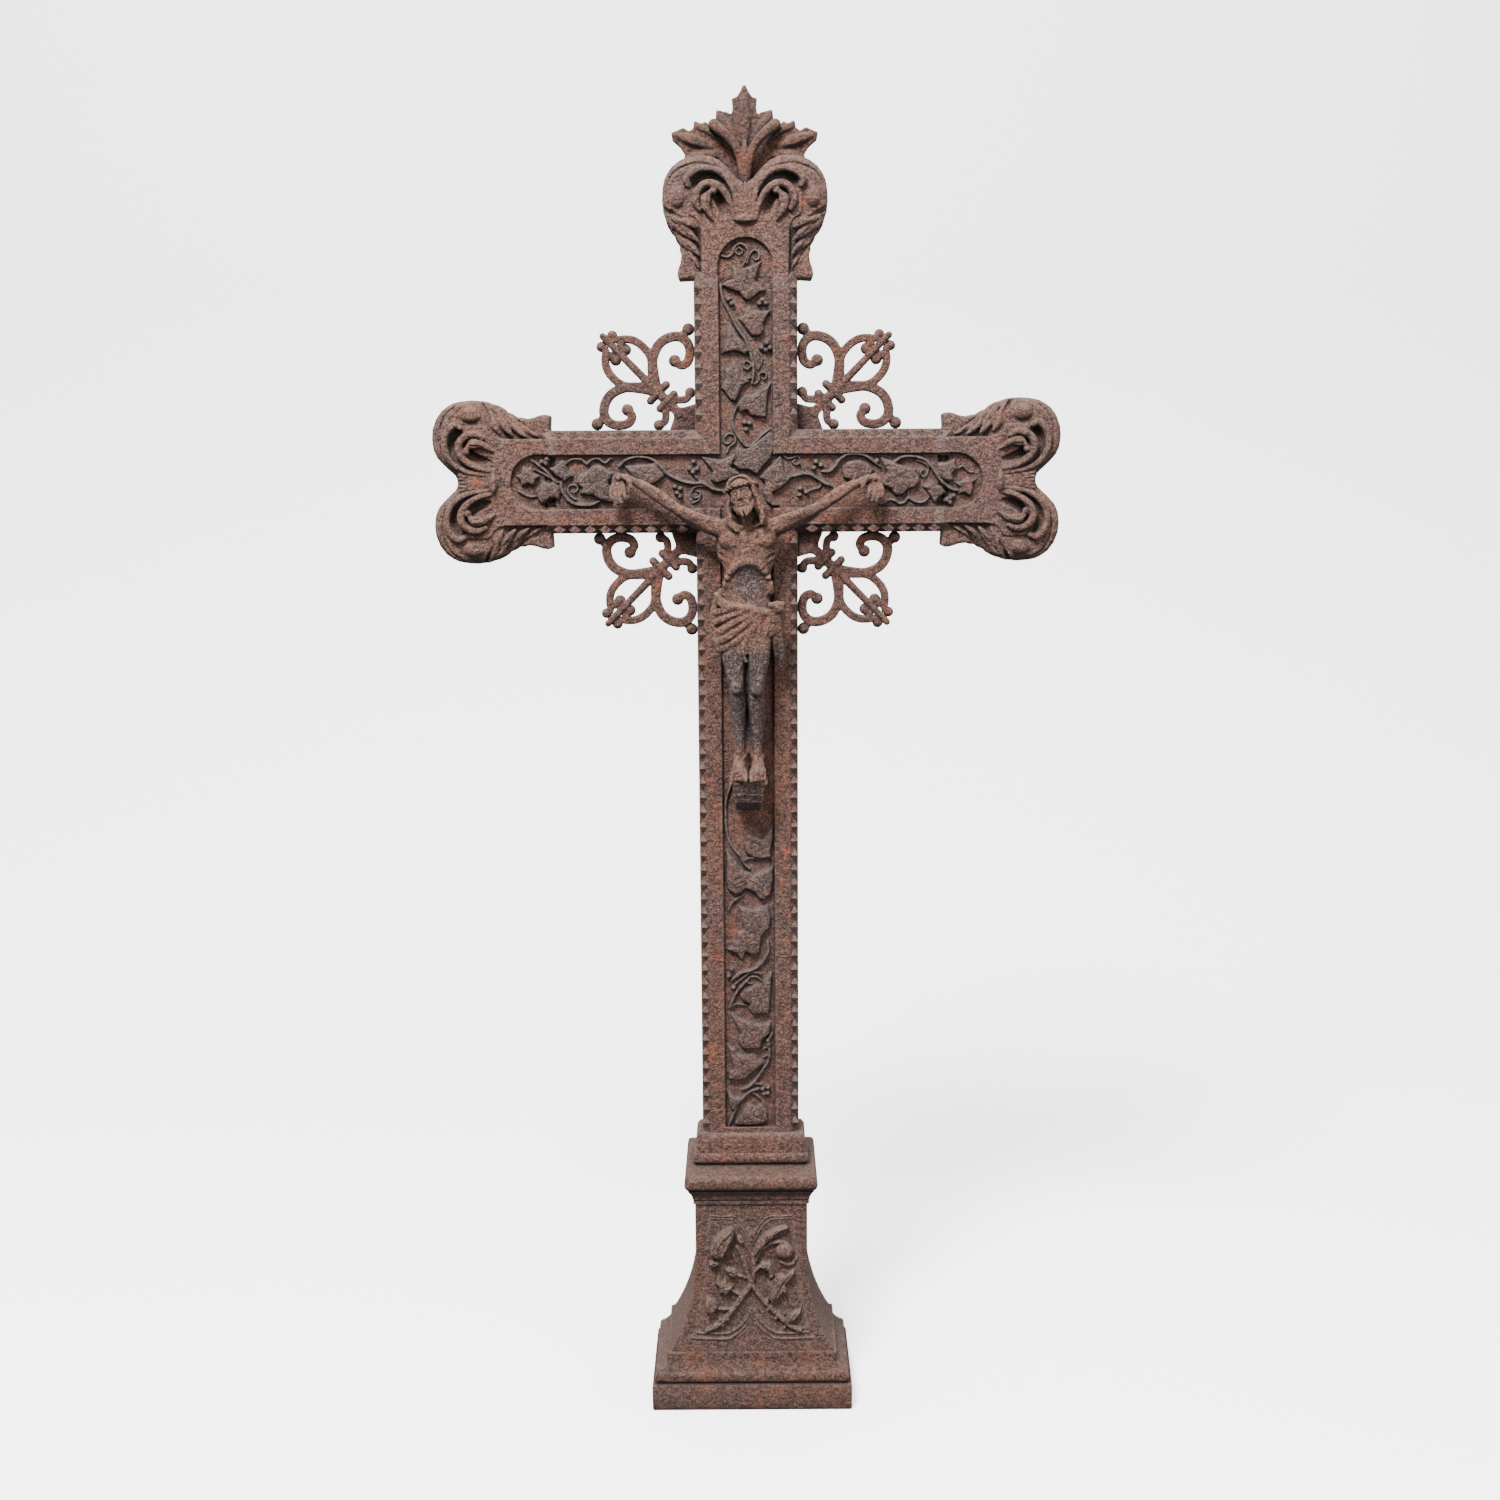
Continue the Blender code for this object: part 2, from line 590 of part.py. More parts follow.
def make_beams():
    """Shaft and arms as one plus shaped prism, chamfered along the front and the back rim."""
    beams = bmesh.new()
    foot = FOOT_TOP - CROSSING_Z - SUNK
    outline = plus_outline(SHAFT_WIDTH / 2, ARM_WIDTH / 2, CORE_REACH, foot, False)
    front = add_outline(beams, outline, -FRONT, FRONT)
    back = next(face for face in beams.faces if all(abs(v.co.z + FRONT) < 1e-9 for v in face.verts))
    for face, chamfer in ((front, FRONT_CHAMFER), (back, BACK_CHAMFER)):
        rim = [edge for edge in face.edges if min(v.co.y for v in edge.verts) > foot + 1e-6
               or abs(edge.verts[0].co.x - edge.verts[1].co.x) < 1e-6]
        bmesh.ops.bevel(beams, geom=rim, offset=chamfer, offset_type="OFFSET", segments=1, affect="EDGES")
    return beams


def add_stud(studs, place, along, out):
    """Nailhead: a low pyramid on a lozenge, its long way set along the edge."""
    across = along.cross(out)
    share = (STUD_HEIGHT + STUD_ROOT) / STUD_HEIGHT
    length = STUD_PITCH * STUD_SHARE / 2 * share
    width = FRONT_CHAMFER * math.sqrt(2) / 2 * STUD_SHARE * share
    height = STUD_HEIGHT + STUD_ROOT
    basis = Matrix((along * length, across * width, out * height)).transposed().to_4x4()
    centre = place + out * (STUD_HEIGHT - STUD_ROOT) / 2
    bmesh.ops.create_cone(
        studs, cap_ends=True, segments=4, radius1=1, radius2=0, depth=1, matrix=Matrix.Translation(centre) @ basis)


def stud_places(start, end):
    """Middles of the studs that fit between two places along an edge, one pitch apart."""
    count = int((end - start) / STUD_PITCH)
    margin = (end - start - count * STUD_PITCH) / 2
    return [start + margin + STUD_PITCH * (index + 0.5) for index in range(count)]


def make_studs():
    """Nailheads on the front chamfers of the shaft and of the three arms."""
    studs = bmesh.new()
    half = FRONT_CHAMFER / 2
    foot = FOOT_TOP - CROSSING_Z
    inner = max(SHAFT_WIDTH, ARM_WIDTH) / 2
    rows = (
        (0, ARM_WIDTH / 2, inner, SCROLL_FOOT_REACH), (90, SHAFT_WIDTH / 2, inner, SCROLL_FOOT_REACH),
        (180, ARM_WIDTH / 2, inner, SCROLL_FOOT_REACH), (270, SHAFT_WIDTH / 2, inner, -foot),
    )
    for turn, half_width, start, end in rows:
        spin = Matrix.Rotation(math.radians(turn), 3, "Z")
        for side in (-1, 1):
            out = (spin @ Vector((0, side, 1))).normalized()
            along = spin @ Vector((1, 0, 0))
            for reach in stud_places(start, end):
                place = spin @ Vector((reach, side * (half_width - half), FRONT - half))
                add_stud(studs, place, along, out)
    return studs


def make_panel_cutter():
    """Sunk panel that runs through the crossing, with arched ends and a square foot."""
    cutter = bmesh.new()
    foot = FOOT_TOP - CROSSING_Z + PANEL_FOOT_MARGIN
    outline = plus_outline(PANEL_WIDTH / 2, PANEL_WIDTH / 2, PANEL_REACH, foot, True)
    add_outline(cutter, outline, PANEL_FLOOR, FRONT + PANEL_DEPTH)
    return cutter


def wave(start, end, width, halves, height, roll):
    """Strip that swings from side to side between two places."""
    start = Vector(start)
    end = Vector(end)
    along = end - start
    across = Vector((-along.y, along.x)).normalized()
    steps = halves * 3
    points = []
    for step in range(steps + 1):
        share = step / steps
        place = start + along * share + across * width * math.sin(math.pi * halves * share)
        points.append((place.x, place.y, height, roll))
    return points


def on_branch(branch, share, across):
    """Place in the panel: a share of a branch from the crossing, and panel widths right or up."""
    side = across * PANEL_WIDTH
    foot = SHAFT_LENGTH - PANEL_FOOT_MARGIN
    places = {
        "left": (-share * PANEL_REACH, side), "right": (share * PANEL_REACH, side),
        "upper": (side, share * PANEL_REACH), "lower": (side, -share * foot),
    }
    return places[branch]


def make_ivy():
    """Leaves, winding stems and berries on the floor of the sunk panel."""
    ivy = bmesh.new()
    levels = (PANEL_FLOOR - SUNK, LEAF_TOP)
    stem_level = PANEL_FLOOR + STEM_ROLL / 2
    for branch, leaves in IVY_LEAVES.items():
        for share, across, length, turn in leaves:
            add_low_leaf(ivy, IVY, length * PANEL_WIDTH, turn, on_branch(branch, share, across), levels)
    for right, up, length, turn in CROSSING_LEAVES:
        add_low_leaf(ivy, IVY, length * PANEL_WIDTH, turn, (right * PANEL_WIDTH, up * PANEL_WIDTH), levels)
    for branch, start, end, halves in IVY_STEMS:
        swing = PANEL_WIDTH * (LONG_STEM_SWING if branch == "lower" else STEM_SWING)
        add_tube(ivy, wave(on_branch(branch, *start), on_branch(branch, *end), swing, halves, stem_level, STEM_ROLL))
    for branch, share, across in IVY_BERRIES:
        add_ball(ivy, (*on_branch(branch, share, across), PANEL_FLOOR + BERRY_RADIUS / 2), BERRY_RADIUS)
    share, across, outer, inner = IVY_CURL
    radii = (outer * PANEL_WIDTH, inner * PANEL_WIDTH)
    add_tube(ivy, spiral(on_branch("upper", share, across), radii, (200, 560), stem_level, (STEM_ROLL, STEM_ROLL), 9))
    return ivy


def scroll_neck_outline():
    """Leaf that leaves the bulb, narrows along the beam and flares into a foot."""
    edge = ARM_WIDTH / 2
    inner = edge - FRONT_CHAMFER
    outline = [(SCROLL_FOOT_REACH, inner), (SCROLL_FOOT_REACH, edge + SCROLL_FOOT_RISE * 0.5)]
    outline += [(SCROLL_FOOT_REACH + SCROLL_BEND / 3, edge + SCROLL_FOOT_RISE)]
    outline += [(SCROLL_NECK_REACH - SCROLL_BEND, edge + SCROLL_NECK_RISE * 1.05)]
    outline += [(SCROLL_NECK_REACH, edge + SCROLL_NECK_RISE)]
    shoulder = arc((BULB_REACH, BULB_OFFSET), BULB_RADIUS * 0.97, 142, 108, 3)
    outline += [(SCROLL_NECK_REACH + SCROLL_BEND, edge + SCROLL_NECK_RISE * 1.3)]
    outline += [point for point in shoulder if point[1] > edge + SCROLL_NECK_RISE * 1.4]
    outline += [(BULB_REACH - BULB_RADIUS * 0.25, inner)]
    return outline


def add_scroll(ends, spin):
    """One bulb with its rim roll, volute, neck and leaf lobes, above the arm's middle line."""
    centre = (BULB_REACH, BULB_OFFSET)
    crest = BULB_HALF_DEPTH * 0.72
    place = spin @ Vector((*centre, 0))
    add_ellipsoid(ends, place, (BULB_RADIUS, BULB_RADIUS, BULB_HALF_DEPTH), 16, 6)
    rim = spiral(centre, (BULB_RADIUS * 0.78, BULB_RADIUS * 0.70), (-112, 118), crest, (RIM_ROLL * 0.5, RIM_ROLL), 8)
    add_tube(ends, mirrored(rim, spin), 1)
    volute_centre = (BULB_REACH + BULB_RADIUS * 0.04, BULB_OFFSET - BULB_RADIUS * 0.08)
    volute = spiral(volute_centre, (BULB_RADIUS * 0.62, BULB_RADIUS * 0.12), (-128, 250), BULB_HALF_DEPTH * 0.98,
                    (VOLUTE_ROLL * 0.6, VOLUTE_ROLL), 9)
    add_tube(ends, mirrored(volute, spin), 0)
    # Side leaf: an outline set across the depth of the beam
    neck = [tuple(spin @ Vector((*point, 0)))[:2] for point in scroll_neck_outline()]
    add_outline(ends, neck, -SCROLL_NECK_DEPTH / 2, SCROLL_NECK_DEPTH / 2)
    for along, across, length, turn in SCROLL_LOBES:
        root = (BULB_REACH - along * BULB_RADIUS, BULB_OFFSET + across * BULB_RADIUS)
        lobe = leaf_points(ROSE_LEAF, length * BULB_RADIUS, turn, root)
        outline = [spin @ Vector((*point, 0)) for point in lobe]
        top = add_outline(ends, [tuple(point)[:2] for point in outline], 0, FRONT * 0.8)
        bmesh.ops.poke(ends, faces=[top], offset=LEAF_RIM)


def make_scroll_ends():
    """Three pairs of leaf scrolls with the flutes and the husk between them."""
    ends = bmesh.new()
    for turn in (0, 90, 180):
        spin = Matrix.Rotation(math.radians(turn), 4, "Z")
        for side in (1, -1):
            add_scroll(ends, spin @ Matrix.Diagonal((1, side, 1, 1)))
        for index in (-1, 0, 1):
            spread = index * FLUTE_SPACING
            flute = ((HUSK_REACH, spread * 0.7, FRONT, FLUTE_ROLL), (CORE_REACH - SUNK, spread * 1.2, FRONT, FLUTE_ROLL))
            add_tube(ends, mirrored(flute, spin))
        add_ellipsoid(ends, spin @ Vector((HUSK_REACH, 0, FRONT)), (HUSK_RADIUS,) * 3, 8, 4)
    return ends


def make_foot_moulding():
    """Torus, fascia and sloped shoulder under the shaft, in the world's frame."""
    moulding = bmesh.new()
    half_x = FOOT_FASCIA_WIDTH / 2
    half_y = FOOT_FASCIA_DEPTH / 2
    rings = []
    for z, out in round_steps(FOOT_BOTTOM + FOOT_TORUS_HEIGHT / 2, FOOT_TORUS_HEIGHT / 2, FOOT_TORUS_PROJECTION):
        rings.append((half_x + out, half_y + out, z))
    fascia_top = FOOT_BOTTOM + FOOT_TORUS_HEIGHT + FOOT_FASCIA_HEIGHT
    rings.append((half_x, half_y, fascia_top))
    rings.append((half_x - FOOT_SHOULDER, half_y - FOOT_SHOULDER / 2, FOOT_TOP))
    add_lofted_rings(moulding, rings)
    return moulding


def make_cross(parts, cutters, iron):
    on_face = Matrix.Translation((0, 0, CROSSING_Z)) @ FACE
    cross = make_object("cross", make_beams(), parts, on_face, iron)
    panel = make_object("panel", make_panel_cutter(), cutters, on_face)
    foot = make_object("foot_moulding", make_foot_moulding(), cutters, Matrix.Identity(4))
    studs = make_object("studs", make_studs(), cutters, on_face)
    ivy = make_object("ivy", make_ivy(), cutters, on_face)
    room = make_object("room_for_figure", figure_carriers(IVY_CLEARANCE), cutters, figure_place())
    add_boolean(ivy, room, "DIFFERENCE", overlapping=True)
    ends = make_object("scroll_ends", make_scroll_ends(), cutters, on_face)
    blend(ends, SCROLL_VOXEL, SCROLL_KEEP)
    add_boolean(cross, panel, "DIFFERENCE")
    add_boolean(cross, foot, "UNION")
    add_boolean(cross, studs, "UNION")
    add_boolean(cross, ivy, "UNION", overlapping=True)
    add_boolean(cross, ends, "UNION")
    shade_rounded(cross)
    return cross


def make_crown_palmette(parts, cutters, iron):
    """Lobed leaf that stands between the two upper scrolls, cut to fit over them."""
    leaf = bmesh.new()
    root = CROWN_BOTTOM + CROWN_HEIGHT * 0.22
    reach = CROWN_HEIGHT * 0.78
    for index, (share, turn) in enumerate(CROWN_LOBES):
        for side in ((1,) if turn == 0 else (-1, 1)):
            lift = CROWN_HALF_DEPTH - (index + side * 0.3) * CROWN_LOBE_STEP
            levels = (-lift, lift, lift + CROWN_RIB)
            add_leaf(leaf, CROWN_LOBE, reach * share, side * turn, (0, root), levels)
    half_width = CROWN_STEM_WIDTH / 2
    half_depth = CROWN_STEM_DEPTH / 2
    add_box(leaf, (-half_width, CROWN_BOTTOM - half_depth, -half_depth), (half_width, root, half_depth))
    for side in (-1, 1):
        curl = [(0.004, 0.02, 0.5), (0.007, 0.30, 0.8), (0.016, 0.40, 1.0), (0.027, 0.48, 1.0), (0.036, 0.50, 0.7)]
        points = [(side * a, CROWN_BOTTOM + CROWN_HEIGHT * share, half_depth, CROWN_CURL_ROLL * roll)
                  for a, share, roll in curl]
        add_tube(leaf, points, 1)
    on_face = Matrix.Translation((0, 0, CROSSING_Z)) @ FACE
    palmette = make_object("crown_palmette", leaf, parts, on_face, iron)
    blend(palmette, CROWN_VOXEL, CROWN_KEEP)
    seats = bmesh.new()
    for side in (-1, 1):
        radius = BULB_RADIUS + CROWN_SEAT_CLEARANCE
        depth = BULB_HALF_DEPTH + RIM_ROLL
        add_ellipsoid(seats, (side * BULB_OFFSET, BULB_REACH, 0), (radius, radius, depth), 16, 6)
    wide = BULB_OFFSET + BULB_RADIUS
    add_box(seats, (-wide, CORE_REACH - BULB_RADIUS, -BULB_RADIUS), (wide, CROWN_BOTTOM, BULB_RADIUS))
    add_boolean(palmette, make_object("crown_seats", seats, cutters, on_face), "DIFFERENCE", overlapping=True)
    shade_rounded(palmette)
    return palmette


def bracket_strips():
    """Strips of one bracket in its corner: p along the arm and q along the shaft, from the corner."""
    span = BRACKET_SPAN
    strip = BRACKET_STRIP
    touch = BRACKET_BALL + JOINT_GAP
    collar = span * sum(COLLAR_PLACES) / 2
    against_beam = touch / span
    curl = (*BRACKET_CURL, (against_beam, 0.385), (against_beam, 0.43))
    beam_link = ((0.130, 0.895), (against_beam, 1 - BRACKET_BALL / span), (against_beam, 1.0))
    strips = [[(collar * 0.8, collar * 0.8, 0, strip), (span * 0.925, span * 0.925, 0, strip * 0.75)]]
    for mirror in (False, True):
        for path in (BRACKET_OUTER, BRACKET_INNER, curl, BRACKET_LEAF, beam_link):
            rolls = [strip] * (len(path) - 2) + [BRACKET_BALL, BRACKET_BALL * 0.6]
            points = [(span * p, span * q, 0, roll) for (p, q), roll in zip(path, rolls)]
            strips.append([(q, p, h, roll) if mirror else (p, q, h, roll) for p, q, h, roll in points])
    return strips


def add_bracket(bracket, side, lift):
    """Fill a bmesh with one bracket. side and lift are the signs of its corner."""
    corner = Matrix.Translation((side * SHAFT_WIDTH / 2, lift * ARM_WIDTH / 2, 0))
    flip = corner @ Matrix.Diagonal((side, lift, 1, 1))
    stretch = Matrix.Diagonal((1, 1, BRACKET_DEPTH_STRETCH, 1))
    for points in bracket_strips():
        add_tube(bracket, points, 0, flip @ stretch)
    # Two collar bands across the bar
    for share in COLLAR_PLACES:
        place = BRACKET_SPAN * share
        turn = Matrix.Rotation(math.radians(45), 4, "Z")
        size = Matrix.Diagonal((COLLAR_LENGTH, COLLAR_WIDTH, BRACKET_STRIP * 4, 1))
        bmesh.ops.create_cube(bracket, size=1, matrix=flip @ Matrix.Translation((place, place, 0)) @ turn @ size)
    # Concave shield in the corner
    gap = JOINT_GAP
    wide = SHIELD_WIDTH
    waist = SHIELD_WIDTH * 0.7
    head = SHIELD_WIDTH
    outline = [(gap, gap), (wide, gap), (waist * 1.15, waist * 0.65), (head, head), (waist * 0.65, waist * 1.15),
               (gap, wide)]
    placed = [tuple(flip @ Vector((p, q, 0)))[:2] for p, q in outline]
    add_outline(bracket, placed, -SHIELD_DEPTH / 2, SHIELD_DEPTH / 2)


def make_brackets(parts, cutters, iron):
    """Four pierced brackets, one in each corner of the crossing."""
    on_face = Matrix.Translation((0, 0, CROSSING_Z)) @ FACE
    for side, side_name in ((-1, "left"), (1, "right")):
        for lift, lift_name in ((1, "upper"), (-1, "lower")):
            name = f"corner_bracket_{lift_name}_{side_name}"
            root = bmesh.new()
            low = BRACKET_SPAN * 0.05
            high = BRACKET_SPAN * 0.15
            corner_a = side * (SHAFT_WIDTH / 2 + low), side * (SHAFT_WIDTH / 2 + high)
            corner_b = lift * (ARM_WIDTH / 2 + low), lift * (ARM_WIDTH / 2 + high)
            add_box(root, (min(corner_a), min(corner_b), -SUNK), (max(corner_a), max(corner_b), SUNK))
            bracket = make_object(name, root, parts, on_face, iron)
            strips = bmesh.new()
            add_bracket(strips, side, lift)
            operand = make_object(f"strips_{lift_name}_{side_name}", strips, cutters, on_face)
            add_boolean(bracket, operand, "UNION", overlapping=True)
            thin_out(bracket, BRACKET_KEEP)
            shade_rounded(bracket)


def scaled(points, unit):
    return [tuple(value * unit for value in point) for point in points]


def add_hand(body, wrist, side, unit):
    """Open palm with four fingers that hang from it, and the thumb."""
    x, y, z, _ = wrist
    add_ellipsoid(body, (x * unit, (y + 1) * unit, z * unit), (6.5 * unit, 4.5 * unit, 9 * unit), 10, 6)
    for spread in FINGER_SPREAD:
        root = (x + spread, y - 2, z - 5, 2.3)
        middle = (x + spread * 1.2, y - 6, z - 12, 2.2)
        tip = (x + spread * 1.2, y - 3, z - 21 + abs(spread), 1.9)
        add_tube(body, scaled((root, middle, tip), unit), 1)
    thumb = ((x - side * 4, y - 2, z + 3, 2.3), (x - side * 7, y - 5, z - 5, 2.0))
    add_tube(body, scaled(thumb, unit), 1)


def add_foot(body, x, side, unit):
    """Bare foot that points down and out, its toes at the edge of the block."""
    tilt = Matrix.Rotation(math.radians(-side * 12), 4, "Z") @ Matrix.Rotation(math.radians(38), 4, "X")
    add_ellipsoid(body, Vector((x, -27, 13)) * unit, Vector((8.5, 19, 7)) * unit, 12, 6, tilt)
    add_ellipsoid(body, Vector((x * 0.95, -15, 18)) * unit, Vector((6.5, 8, 9)) * unit, 10, 6)


def figure_masses():
    """Bodies that overlap to make the figure. The remesh blends them."""
    unit = FIGURE_HEIGHT / 360
    body = bmesh.new()
    for centre, radii in TORSO_MASSES + HEAD_MASSES + (CLOTH_KNOT,):
        add_ellipsoid(body, Vector(centre) * unit, Vector(radii) * unit, 16, 10)
    for limb in (LEFT_ARM, RIGHT_ARM, LEFT_LEG, RIGHT_LEG, NECK, NOSE, CLOTH_TAIL, *HAIR_LOCKS, *CLOTH_FOLDS):
        add_tube(body, scaled(limb, unit), 3)
        for x, y, z, radius in limb:
            add_ellipsoid(body, Vector((x, y, z)) * unit, Vector((radius,) * 3) * unit, 12, 6)
    add_hand(body, LEFT_ARM[-1], -1, unit)
    add_hand(body, RIGHT_ARM[-1], 1, unit)
    for x, side in FEET:
        add_foot(body, x, side, unit)
    # Plaited crown around the head
    centre, radius, roll, tilt = CROWN_OF_THORNS
    turn = Matrix.Rotation(math.radians(tilt), 4, "Y")
    ring = []
    for step in range(17):
        angle = math.tau * step / 16
        place = turn @ Vector((radius * math.cos(angle), radius * 0.95 * math.sin(angle), 0))
        ring.append((centre[0] + place.x, centre[1] + place.y, centre[2] + place.z, roll))
    add_tube(body, scaled(ring, unit), 2)
    return body


def add_foot_block(block, clearance):
    """Sloped block under the feet that narrows to its toe, grown by a clearance."""
    half = FOOT_BLOCK_WIDTH / 2 + clearance
    toe = FOOT_BLOCK_TOE / 2 + clearance
    back = FIGURE_BACK - PANEL_FLOOR - JOINT_GAP + clearance
    front = FOOT_BLOCK_PROJECTION
    lip = FOOT_BLOCK_LIP
    rows = (
        (-FOOT_BLOCK_HEIGHT - clearance, toe, front * 0.25), (-lip * 1.6 - clearance, half * 0.86, front * 0.86),
        (-lip, half, front), (FOOT_BLOCK_RISE * 0.2, half, front),
        (FOOT_BLOCK_RISE + clearance, half * 0.9, front * 0.3),
    )
    loops = []
    for z, half_width, depth in rows:
        corners = ((-half_width, -depth), (half_width, -depth), (half_width, back), (-half_width, back))
        loops.append([block.verts.new((x, y, z)) for x, y in corners])
    block.faces.new(reversed(loops[0]))
    block.faces.new(loops[-1])
    for lower, upper in zip(loops, loops[1:]):
        for corner in range(4):
            following = (corner + 1) % 4
            block.faces.new((lower[corner], lower[following], upper[following], upper[corner]))


def figure_place():
    """The figure's frame: the middle of its back plane, at the soles."""
    return Matrix.Translation((0, -FIGURE_BACK, CROSSING_Z - FIGURE_SOLE_DROP))


def figure_carriers(clearance):
    """Foot block and palm lugs, which reach back to the floor of the panel."""
    unit = FIGURE_HEIGHT / 360
    carriers = bmesh.new()
    add_foot_block(carriers, clearance)
    lug_back = FIGURE_BACK - PANEL_FLOOR - JOINT_GAP + clearance
    radius = PALM_LUG_RADIUS + clearance
    for x, y, z, _ in (LEFT_ARM[-1], RIGHT_ARM[-1]):
        length = lug_back - y * unit
        centre = Vector((x * unit, lug_back - length / 2, z * unit))
        matrix = Matrix.Translation(centre) @ Matrix.Rotation(math.radians(90), 4, "X")
        bmesh.ops.create_cone(
            carriers, cap_ends=True, segments=8, radius1=radius, radius2=radius, depth=length, matrix=matrix)
    return carriers


def make_corpus(parts, cutters, iron):
    """The figure: blended masses, cut flat at the back, with its foot block and palm lugs."""
    place = figure_place()
    corpus = make_object("corpus", figure_masses(), parts, place, iron)
    blend(corpus, FIGURE_VOXEL, FIGURE_KEEP)
    back = bmesh.new()
    reach = FIGURE_HEIGHT
    add_box(back, (-reach, 0, -reach), (reach, reach, reach * 2))
    add_boolean(corpus, make_object("figure_back", back, cutters, place), "DIFFERENCE")
    add_boolean(corpus, make_object("figure_carriers", figure_carriers(0), cutters, place), "UNION")
    shade_rounded(corpus, 60)
    return corpus


def build():
    clear_scene()
    parts = make_collection("cast_iron_crucifix")
    cutters = make_collection("cutters")
    rusty = make_material("rusty_cast_iron", (0.170, 0.105, 0.080), 0.82, 0.35)
    dark = make_material("pedestal_iron", (0.140, 0.092, 0.075), 0.85, 0.35)
    worn = make_material("figure_iron", (0.220, 0.160, 0.130), 0.75, 0.35)
    leaf = make_material("crown_iron", (0.150, 0.090, 0.068), 0.82, 0.35)
    open_work = make_material("bracket_iron", (0.160, 0.090, 0.070), 0.80, 0.35)
    make_pedestal(parts, cutters, dark)
    make_cross(parts, cutters, rusty)
    make_crown_palmette(parts, cutters, leaf)
    make_brackets(parts, cutters, open_work)
    make_corpus(parts, cutters, worn)


build()
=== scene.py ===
"""Looks of the cast iron crucifix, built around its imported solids.

Lengths in the tables are millimetres. The face frame is a to the right, b up from the middle of the
crossing, h out of the front. Rusted iron castings are modelled as clay: signed distances on a grid,
to which rounded strokes are joined and from which they are cut, and whose skin becomes a mesh.
"""

import math

import bmesh
import bpy
import numpy as np
from mathutils import Matrix, Vector


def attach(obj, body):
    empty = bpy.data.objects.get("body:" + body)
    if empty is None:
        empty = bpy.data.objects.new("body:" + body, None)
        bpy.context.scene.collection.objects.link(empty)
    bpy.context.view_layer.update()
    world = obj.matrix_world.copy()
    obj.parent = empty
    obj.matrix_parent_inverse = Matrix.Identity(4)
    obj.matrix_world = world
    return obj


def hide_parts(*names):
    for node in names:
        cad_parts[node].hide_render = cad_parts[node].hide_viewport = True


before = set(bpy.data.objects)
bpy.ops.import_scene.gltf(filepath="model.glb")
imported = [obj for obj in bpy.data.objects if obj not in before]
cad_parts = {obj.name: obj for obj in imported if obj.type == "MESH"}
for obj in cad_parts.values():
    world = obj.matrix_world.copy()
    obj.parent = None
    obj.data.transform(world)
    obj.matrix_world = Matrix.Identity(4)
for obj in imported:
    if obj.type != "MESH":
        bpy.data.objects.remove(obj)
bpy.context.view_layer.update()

MM = 0.001
FAR = 40.0

# Spacing of the grids in mm, which says how fine each casting's mesh is
END_VOXEL = 1.45
CROWN_VOXEL = 1.2
BRACKET_VOXEL = 1.3
BODY_VOXEL = 1.3
HEAD_VOXEL = 0.8
IVY_STEPS = (0.72, 0.6, 0.66)
FLOWER_STEP = 0.62

# Sizes shared with the solids
CROSSING_Z = 1150.8
SHAFT_WIDTH = 120.0
ARM_WIDTH = 120.0
FRONT = 22.5
FRONT_CHAMFER = 9.5
BACK_CHAMFER = 4.0
SHAFT_LENGTH = 804.5
BEAM_REACH = 242.0
STUD_PITCH = 18.0
STUD_HEIGHT = 6.2
PANEL_WIDTH = 64.0
PANEL_FLOOR = 17.4
PANEL_REACH = 277.0
PANEL_FOOT = 798.5
SCROLL_FOOT = 232.0
FIGURE_BACK = 25.8
FIGURE_SOLE = CROSSING_Z - 351.0


def face_matrix(turn=0):
    """From the face frame in millimetres to the world in metres, turned about the crossing."""
    spin = Matrix.Rotation(math.radians(turn), 4, "Z")
    upright = Matrix.Rotation(math.radians(90), 4, "X")
    return Matrix.Translation((0, 0, CROSSING_Z * MM)) @ upright @ spin @ Matrix.Scale(MM, 4)


# Clay


def soft_min(one, other, soft):
    blend = np.maximum(soft - np.abs(one - other), 0) / soft
    return np.minimum(one, other) - blend * blend * soft / 4


def catmull(points, steps):
    """Smooth path through points of any length, with so many steps between two of them."""
    points = np.array(points, np.float32)
    padded = np.vstack([2 * points[0] - points[1], points, 2 * points[-1] - points[-2]])
    path = []
    for index in range(len(points) - 1):
        p0, p1, p2, p3 = padded[index:index + 4]
        for step in range(steps):
            t = step / steps
            path.append(0.5 * (2 * p1 + (p2 - p0) * t + (2 * p0 - 5 * p1 + 4 * p2 - p3) * t * t
                               + (3 * p1 - p0 - 3 * p2 + p3) * t ** 3))
    path.append(points[-1])
    return np.array(path, np.float32)


def to_segment(places, start, end):
    """Distance from places to a segment, and the share along it. places is a list of coordinates."""
    span = [float(b - a) for a, b in zip(start, end)]
    length = sum(value * value for value in span) or 1e-9
    share = sum((place - a) * value for place, a, value in zip(places, start, span)) / length
    share = np.clip(share, 0, 1)
    apart = sum((place - a - value * share) ** 2 for place, a, value in zip(places, start, span))
    return np.sqrt(apart), share


def polygon_distance(x, y, outline):
    """Signed distance to a closed flat outline, negative inside."""
    nearest = np.full(np.broadcast(x, y).shape, 1e9, np.float32)
    inside = np.zeros(nearest.shape, bool)
    for (x0, y0), (x1, y1) in zip(outline, list(outline[1:]) + [outline[0]]):
        apart, _ = to_segment((x, y), (x0, y0), (x1, y1))
        nearest = np.minimum(nearest, apart)
        if y0 != y1:
            crosses = ((y0 > y) != (y1 > y)) & (x < (x1 - x0) * (y - y0) / (y1 - y0) + x0)
            inside ^= crosses
    return np.where(inside, -nearest, nearest)


